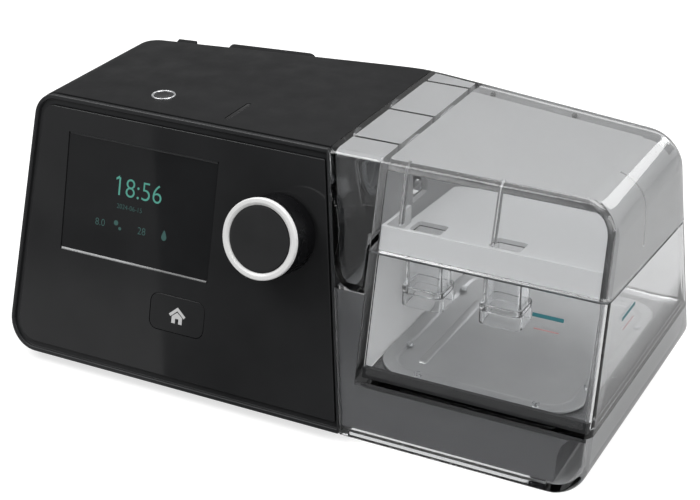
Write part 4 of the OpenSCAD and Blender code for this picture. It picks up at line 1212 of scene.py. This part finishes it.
def floor_in(h):
    """How far the tub's floor is rounded in at height h."""
    return foot_in(h, FLOOR, FLOOR_R)


under_floor = open_left(soft_ring, np.concatenate([rise(FOOT + WALL, 9.6, 15), [26.9]]),
                        right_wall(WALL), WALL)
bottom_way = open_left(plan_ring(0.5, 9.0, 9.0, 0.5, 8, 6, 8, 6), [-1.0, 13.0], 117.0, WALL + 2.6)
frame_seat = open_left(plan_ring(0.5, 1.2, 1.2, 0.5, 8, 6, 8, 4), [6.5, 13.0], 117.2, WALL + 0.09)
left_skirt = open_left(sharp_ring, [-1.0, 26, 60, 90], TUB_X, WALL + 0.04)
front_step = box([-20, -100, 61.7], [TUB_X + 0.06, 14, 100])
tub = block(plan_ring(2.0, 2.4, 2.6, 2.0, 20, 12, 20, 8),
            np.concatenate([rise(FLOOR, FLOOR_R, 6), [50, 90]]),
            lambda h: TUB_END + floor_in(h), lambda h: edge_x(h, True, WALL) - floor_in(h),
            lambda h: (WALL + floor_in(h)) / COS, lambda h: WALL + floor_in(h))
plate_opening = prism(rectangle(78, 94, 12, 80, -4.4, 10), 20, 40, upright(0, 0, 0))
cut(tank, under_floor, bottom_way, frame_seat, left_skirt, front_step, tub, plate_opening)
for u in HINGE_U:
    for side in (-1, 1):
        add(tank, *knuckle(u + side * 6.2, 2.0, -1))
make_piece("clear_tank", tank, "tank", tank_clear, ("tank_shell",), 25)

# %% Faces of the tank with painted light and painted shade


def inside_left(c, n):
    """The tub's inner left wall, above its floor."""
    return (np.abs(c[:, 0] - TUB_END) < 0.9) & (n[:, 0] > 0.7) & (c[:, 2] > 29)


def left_edge(c, n):
    """The outside of the tub's left wall, which is seen along its length."""
    return (n[:, 0] < -0.7) & (np.abs(c[:, 0] - TUB_X) < 0.3) & (c[:, 2] > 26)


def low_right(c, n):
    """Inner faces of the right skirt, below the floor."""
    return (n[:, 0] < -0.05) & (n[:, 2] > -0.2) & (c[:, 2] < 27) & (c[:, 0] > 118)


# Painted light: the pale milky tint makes the tub's inner left wall read light.
finish_faces(tank, painted_light_wall, inside_left)
# Painted shade: the tub's left wall, seen along its length, gets the nearly black tint.
finish_faces(tank, painted_dark_edge, left_edge)
# Painted shade: grey on the right skirt below the floor, standing in for the shade seen through it there.
finish_faces(tank, painted_shade_tank, low_right)

# %% [markdown]
# ## Baffle
# A milky tray under the lid keeps water out of the air's way, and two short chimneys
# lead the air down through it. The tray follows the lid's inner walls with a small
# clearance, so the same block serves for it, its rim and what is cut from the rim.

# %% Baffle tray
DROP_X, DROP_Y, DROP_LOW = (46.8, 80.4), -21.5, 46.0


def in_lid(gap, z=(), **ends):
    """Solid that stands gap clear of the lid's inner walls."""
    d = WALL + gap
    ring = plan_ring(1.2, 1.6, 1.6, 1.2, 16, 10, 16, 5)
    return block(ring, z, TUB_END + gap, right_wall(d), d / COS, d, **ends)


baffle = mesh_object("baffle", in_lid(0.3, over_split=0.6, under_split=2.4))
rim = mesh_object("rim", in_lid(0.3, over_split=0.7, under_split=10.0))
cut(rim, in_lid(1.7, [60.0, 100.0]), box([0, -20, 30], [200, 100, 120]))
add(baffle, taken(rim))
for x in DROP_X:
    cut(baffle, prism(rectangle(13.2, 10.2, 1.6), 40, 90, upright(x, DROP_Y, 0)))
make_piece("baffle_plate", baffle, "lid", baffle_milky, ("lid_baffle",), 25)

# %% Chimneys under the baffle
for side, x in zip(("left", "right"), DROP_X):
    here = upright(x, DROP_Y, 0)
    under_plate = float(split_z(DROP_Y)) - 0.1
    chimney = mesh_object("chimney_" + side, prism(rectangle(16, 13, 2.6), 53, under_plate, here))
    add(chimney, prism(rectangle(18.4, 15.4, 3.2), DROP_LOW, 54.6, here, edge=0.6, low_edge=0.4))
    cut(chimney, prism(rectangle(13.2, 10.2, 1.6), 40, 90, here),
        prism(rectangle(15.6, 12.6, 2.2), 40, 51.6, here, edge=0.6))
    make_piece("chimney_" + side, chimney, "lid", tank_clear, angle=25)

# %% [markdown]
# ## Inside the chamber
# The heating plate is a pressed sheet: its rim lies on the floor round the opening and
# its middle is a little lower, so that it meets the heater. Small stakes hold it. A flat
# plate with a bevel wouldn't catch the light at the step, so it is built as rings that
# follow the pressed profile, and the bead across it is a low arch that fades at its ends.

# %% Heating plate


def plate_ring(d, z):
    """The plate's outline moved in by d, at height z."""
    outline = rectangle(86 - 2 * d, 102 - 2 * d, 16 - d, 80, -4.4, 14)
    return np.column_stack([outline, np.full(len(outline), z)])


pressed = [(4.4, 26.6), (4.4, 29.3), (0.1, 29.3), (0.0, 29.45), (0.0, 30.0), (0.06, 30.14),
           (0.2, 30.2), (5.0, 30.2), (5.5, 30.1), (5.9, 29.8), (6.3, 29.5), (6.8, 29.4)]
sheet = surface([plate_ring(d, z) for d, z in pressed])
BEAD_X, BEAD_Y0, BEAD_Y1 = 53.6, -42.0, 18.0
BEAD_HALF, BEAD_HIGH, BEAD_END = 2.3, 1.1, 1.5
t = np.linspace(0, np.pi, 9)
end_steps = BEAD_END * (1 - np.cos(t[1:5]))
bead_y = np.concatenate([[BEAD_Y0], BEAD_Y0 + end_steps, BEAD_Y1 - end_steps[::-1], [BEAD_Y1]])
half_length, middle = (BEAD_Y1 - BEAD_Y0) / 2, (BEAD_Y1 + BEAD_Y0) / 2
fade = np.sqrt(np.clip(1 - (np.abs(bead_y - middle) / half_length) ** 12, 0, 1))[:, None]
bead = surface(np.stack([BEAD_X + BEAD_HALF * np.cos(t)[None] * (0.4 + 0.6 * fade),
                         bead_y[:, None] + 0 * t[None],
                         29.35 + BEAD_HIGH * np.sin(t)[None] * fade], -1))
make_piece("pressed_plate", joined(sheet, bead), "tank", plate_metal, ("tank_plate",), 40)

# %% [markdown]
# ## Level marks and clips
# The marks that show how full the chamber may be are prints on its clear walls: thin
# bars, teal above and red below. A decal would need an image, so each is a flat solid
# that stands 0.05 mm proud. Two dark clips sit inside the lid's rear edge.

# %% Level marks on the front and right walls


def mark(name, width, where, material):
    """A level bar, thick for the teal mark and thin for the red one."""
    thick = 1.5 if material is mark_teal else 0.5
    make_piece(name, prism(rectangle(width, thick, 0.2), -0.02, 0.05, where), "tank", material)


mark("level_mark_high", 12.4, on_front(109.0, 66.3), mark_teal)
mark("level_mark_low", 10.0, on_front(109.0, 61.2), mark_red)
side_lean = math.atan((CORNERS[1, 0] - CORNERS[2, 0]) / (TOP - FOOT))
WALL_AXES = np.array([[0, 1.0, 0],
                      [-math.sin(side_lean), 0, math.cos(side_lean)],
                      [math.cos(side_lean), 0, math.sin(side_lean)]])


def on_right(y, z):
    """Frame on the outside of the right wall."""
    return np.array([float(edge_x(z, True)), y, z]), WALL_AXES


mark("side_mark_high", 15.0, on_right(-25.7, 64.2), mark_teal)
mark("side_mark_low", 12.0, on_right(-25.7, 59.2), mark_red)

# %% Clips inside the lid's rear edge
HOOK = [(-2.2, 106.0), (-1.0, 106.0), (0.3, 108.4), (0.3, 110.0), (-2.2, 110.0)]
HOOK_R = [0.3, 0.3, 0.4, 0.2, 0.5]
for side, x in (("left", 43.0), ("right", 82.0)):
    at_rear = np.array([x, float(rear_y(x, 108.0)) - WALL, 0.0])
    hook = prism(rounded(HOOK, HOOK_R, 4), -0.8, 0.8, (at_rear, ACROSS), edge=0.2, low_edge=0.2)
    make_piece("lid_clip_" + side, hook, "lid", trim_black)

# %% [markdown]
# ## The rear
# The filter hides behind a slotted cover that pulls straight off. A small door over the
# card slot turns on a pin, and the hose pushes onto the round outlet. All three could be
# drawn on the casing itself, but they move or come apart, so each is its own piece: a
# plate drawn flat on the leaning rear with its edge rounded, or a turned tube.

# %% Filter cover
cover = mesh_object("filter_grille", prism(rectangle(42, 50, 3, 0, 1), -0.4, 4.9, filter_seat, edge=1.2))
slots = [prism(rectangle(28, 1.8, 0.8, 0, 4.2 * i), 0, 9, filter_seat) for i in range(-4, 5)]
cut(cover, prism(rectangle(34, 40, 2), -3, 2.6, filter_seat), *slots)
make_piece("filter_grille", cover, "filter_cover", black_shell, ("filter_cover",))

# %% Card door
PIN_UP, PIN_OUT = 10.6, -1.2
origin, axes = door_seat
pin_line = (origin + PIN_UP * axes[1] + PIN_OUT * axes[2], axes[[1, 2, 0]])
leaf = mesh_object("card_flap", prism(rectangle(15, 25.2, 1.5, 0, -1.4), -1.9, 0.3, door_seat, edge=0.35))
add(leaf, rod(1.5, -6.3, 6.3, pin_line, 40),
    prism(rectangle(7, 2, 0.6, 0, -12.4), 0.1, 1.5, door_seat, edge=0.5))
cut(leaf, rod(0.85, -20, 20, pin_line, 32))
make_piece("card_flap", leaf, "card_door", black_shell, ("card_door",))

# %% Hose outlet
tube = rounded([(OUTLET_BORE, 38), (14, 38), (14, 41), (10.4, 41), (10.4, 62.5), (OUTLET_R, 62.5),
                (OUTLET_R, 72.5), (OUTLET_BORE, 72.5)], [0.3, 0.3, 0.4, 0.5, 0.1, 0.3, 0.9, 0.6], 5)
make_piece("hose_spout", turned(tube, outlet_seat, 96), "main", outlet_plastic, ("air_outlet",), 40)

# %% [markdown]
# ## The CAD nodes that stay
# Boards, blower, ducts, seals, screws and pan are inside or below and have their right
# shapes already. Modelling them again would add nothing, so they only get a finish. The
# nodes that a piece above stands for get the same finish as that piece.

# %% Finishes on CAD nodes
board_green = plastic("board_green", (0.012, 0.075, 0.035), 0.35, 1200.0, 0.01)
blower_grey = plastic("blower_grey", (0.16, 0.165, 0.17), 0.45, 2000.0, 0.01)
foam_grey = plastic("foam_grey", (0.06, 0.06, 0.062), 0.95, 900.0, 0.6, 0.3)
filter_white = plastic("filter_white", (0.55, 0.55, 0.53), 0.9, 1600.0, 0.2, 0.1)
winding_copper = metal("winding_copper", (0.60, 0.27, 0.13), 0.38, (1, 1, 12), 700.0, 0.02)
film_amber = plastic("film_amber", (0.36, 0.15, 0.03), 0.35, 1500.0, 0.004)
FINISHES = (
    (steel, "base_screws plate_stakes hinge_pins card_door_pin knob_shaft encoder motor_rotor card_reader"),
    (seal_grey, "dock_seals lid_seal plate_seal blower_mounts"),
    (rubber, "feet"),
    (heater_metal, "heater_plate"),
    (film_amber, "heater_pad"),
    (platform_grey, "heater_platform"),
    (trim_black, "base_frame"),
    (winding_copper, "motor_stator"),
    (slot_black, "home_switch start_switch display_module sensor_strip"),
    (board_green, "control_board button_board main_board"),
    (blower_grey, "blower_housing blower_cover impeller intake_box supply_duct return_duct"),
    (foam_grey, "silencer_foam"),
    (filter_white, "air_filter"),
    (tank_clear, "tank_shell"),
    (lid_clear, "lid_shell"),
    (baffle_milky, "lid_baffle"),
    (plate_metal, "tank_plate"),
    (panel_black, "front_panel"),
    (lip_plastic, "front_frame"),
    (screen_black, "display_window"),
    (knob_black, "knob_cap"),
    (knob_disc, "knob_face"),
    (ring_white, "knob_ring"),
    (ring_chrome, "start_ring"),
    (button_black, "home_button start_button"),
    (black_shell, "main_casing filter_cover card_door"),
    (outlet_plastic, "air_outlet"),
    (black_pan, "base_pan dock_wall knob_plunger power_inlet"),
)
finish_of = {name: material for material, names in FINISHES for name in names.split()}
for name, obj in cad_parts.items():
    obj.data.materials.clear()
    obj.data.materials.append(finish_of[name])
print(len(finish_of), "nodes finished in", len(FINISHES), "materials")
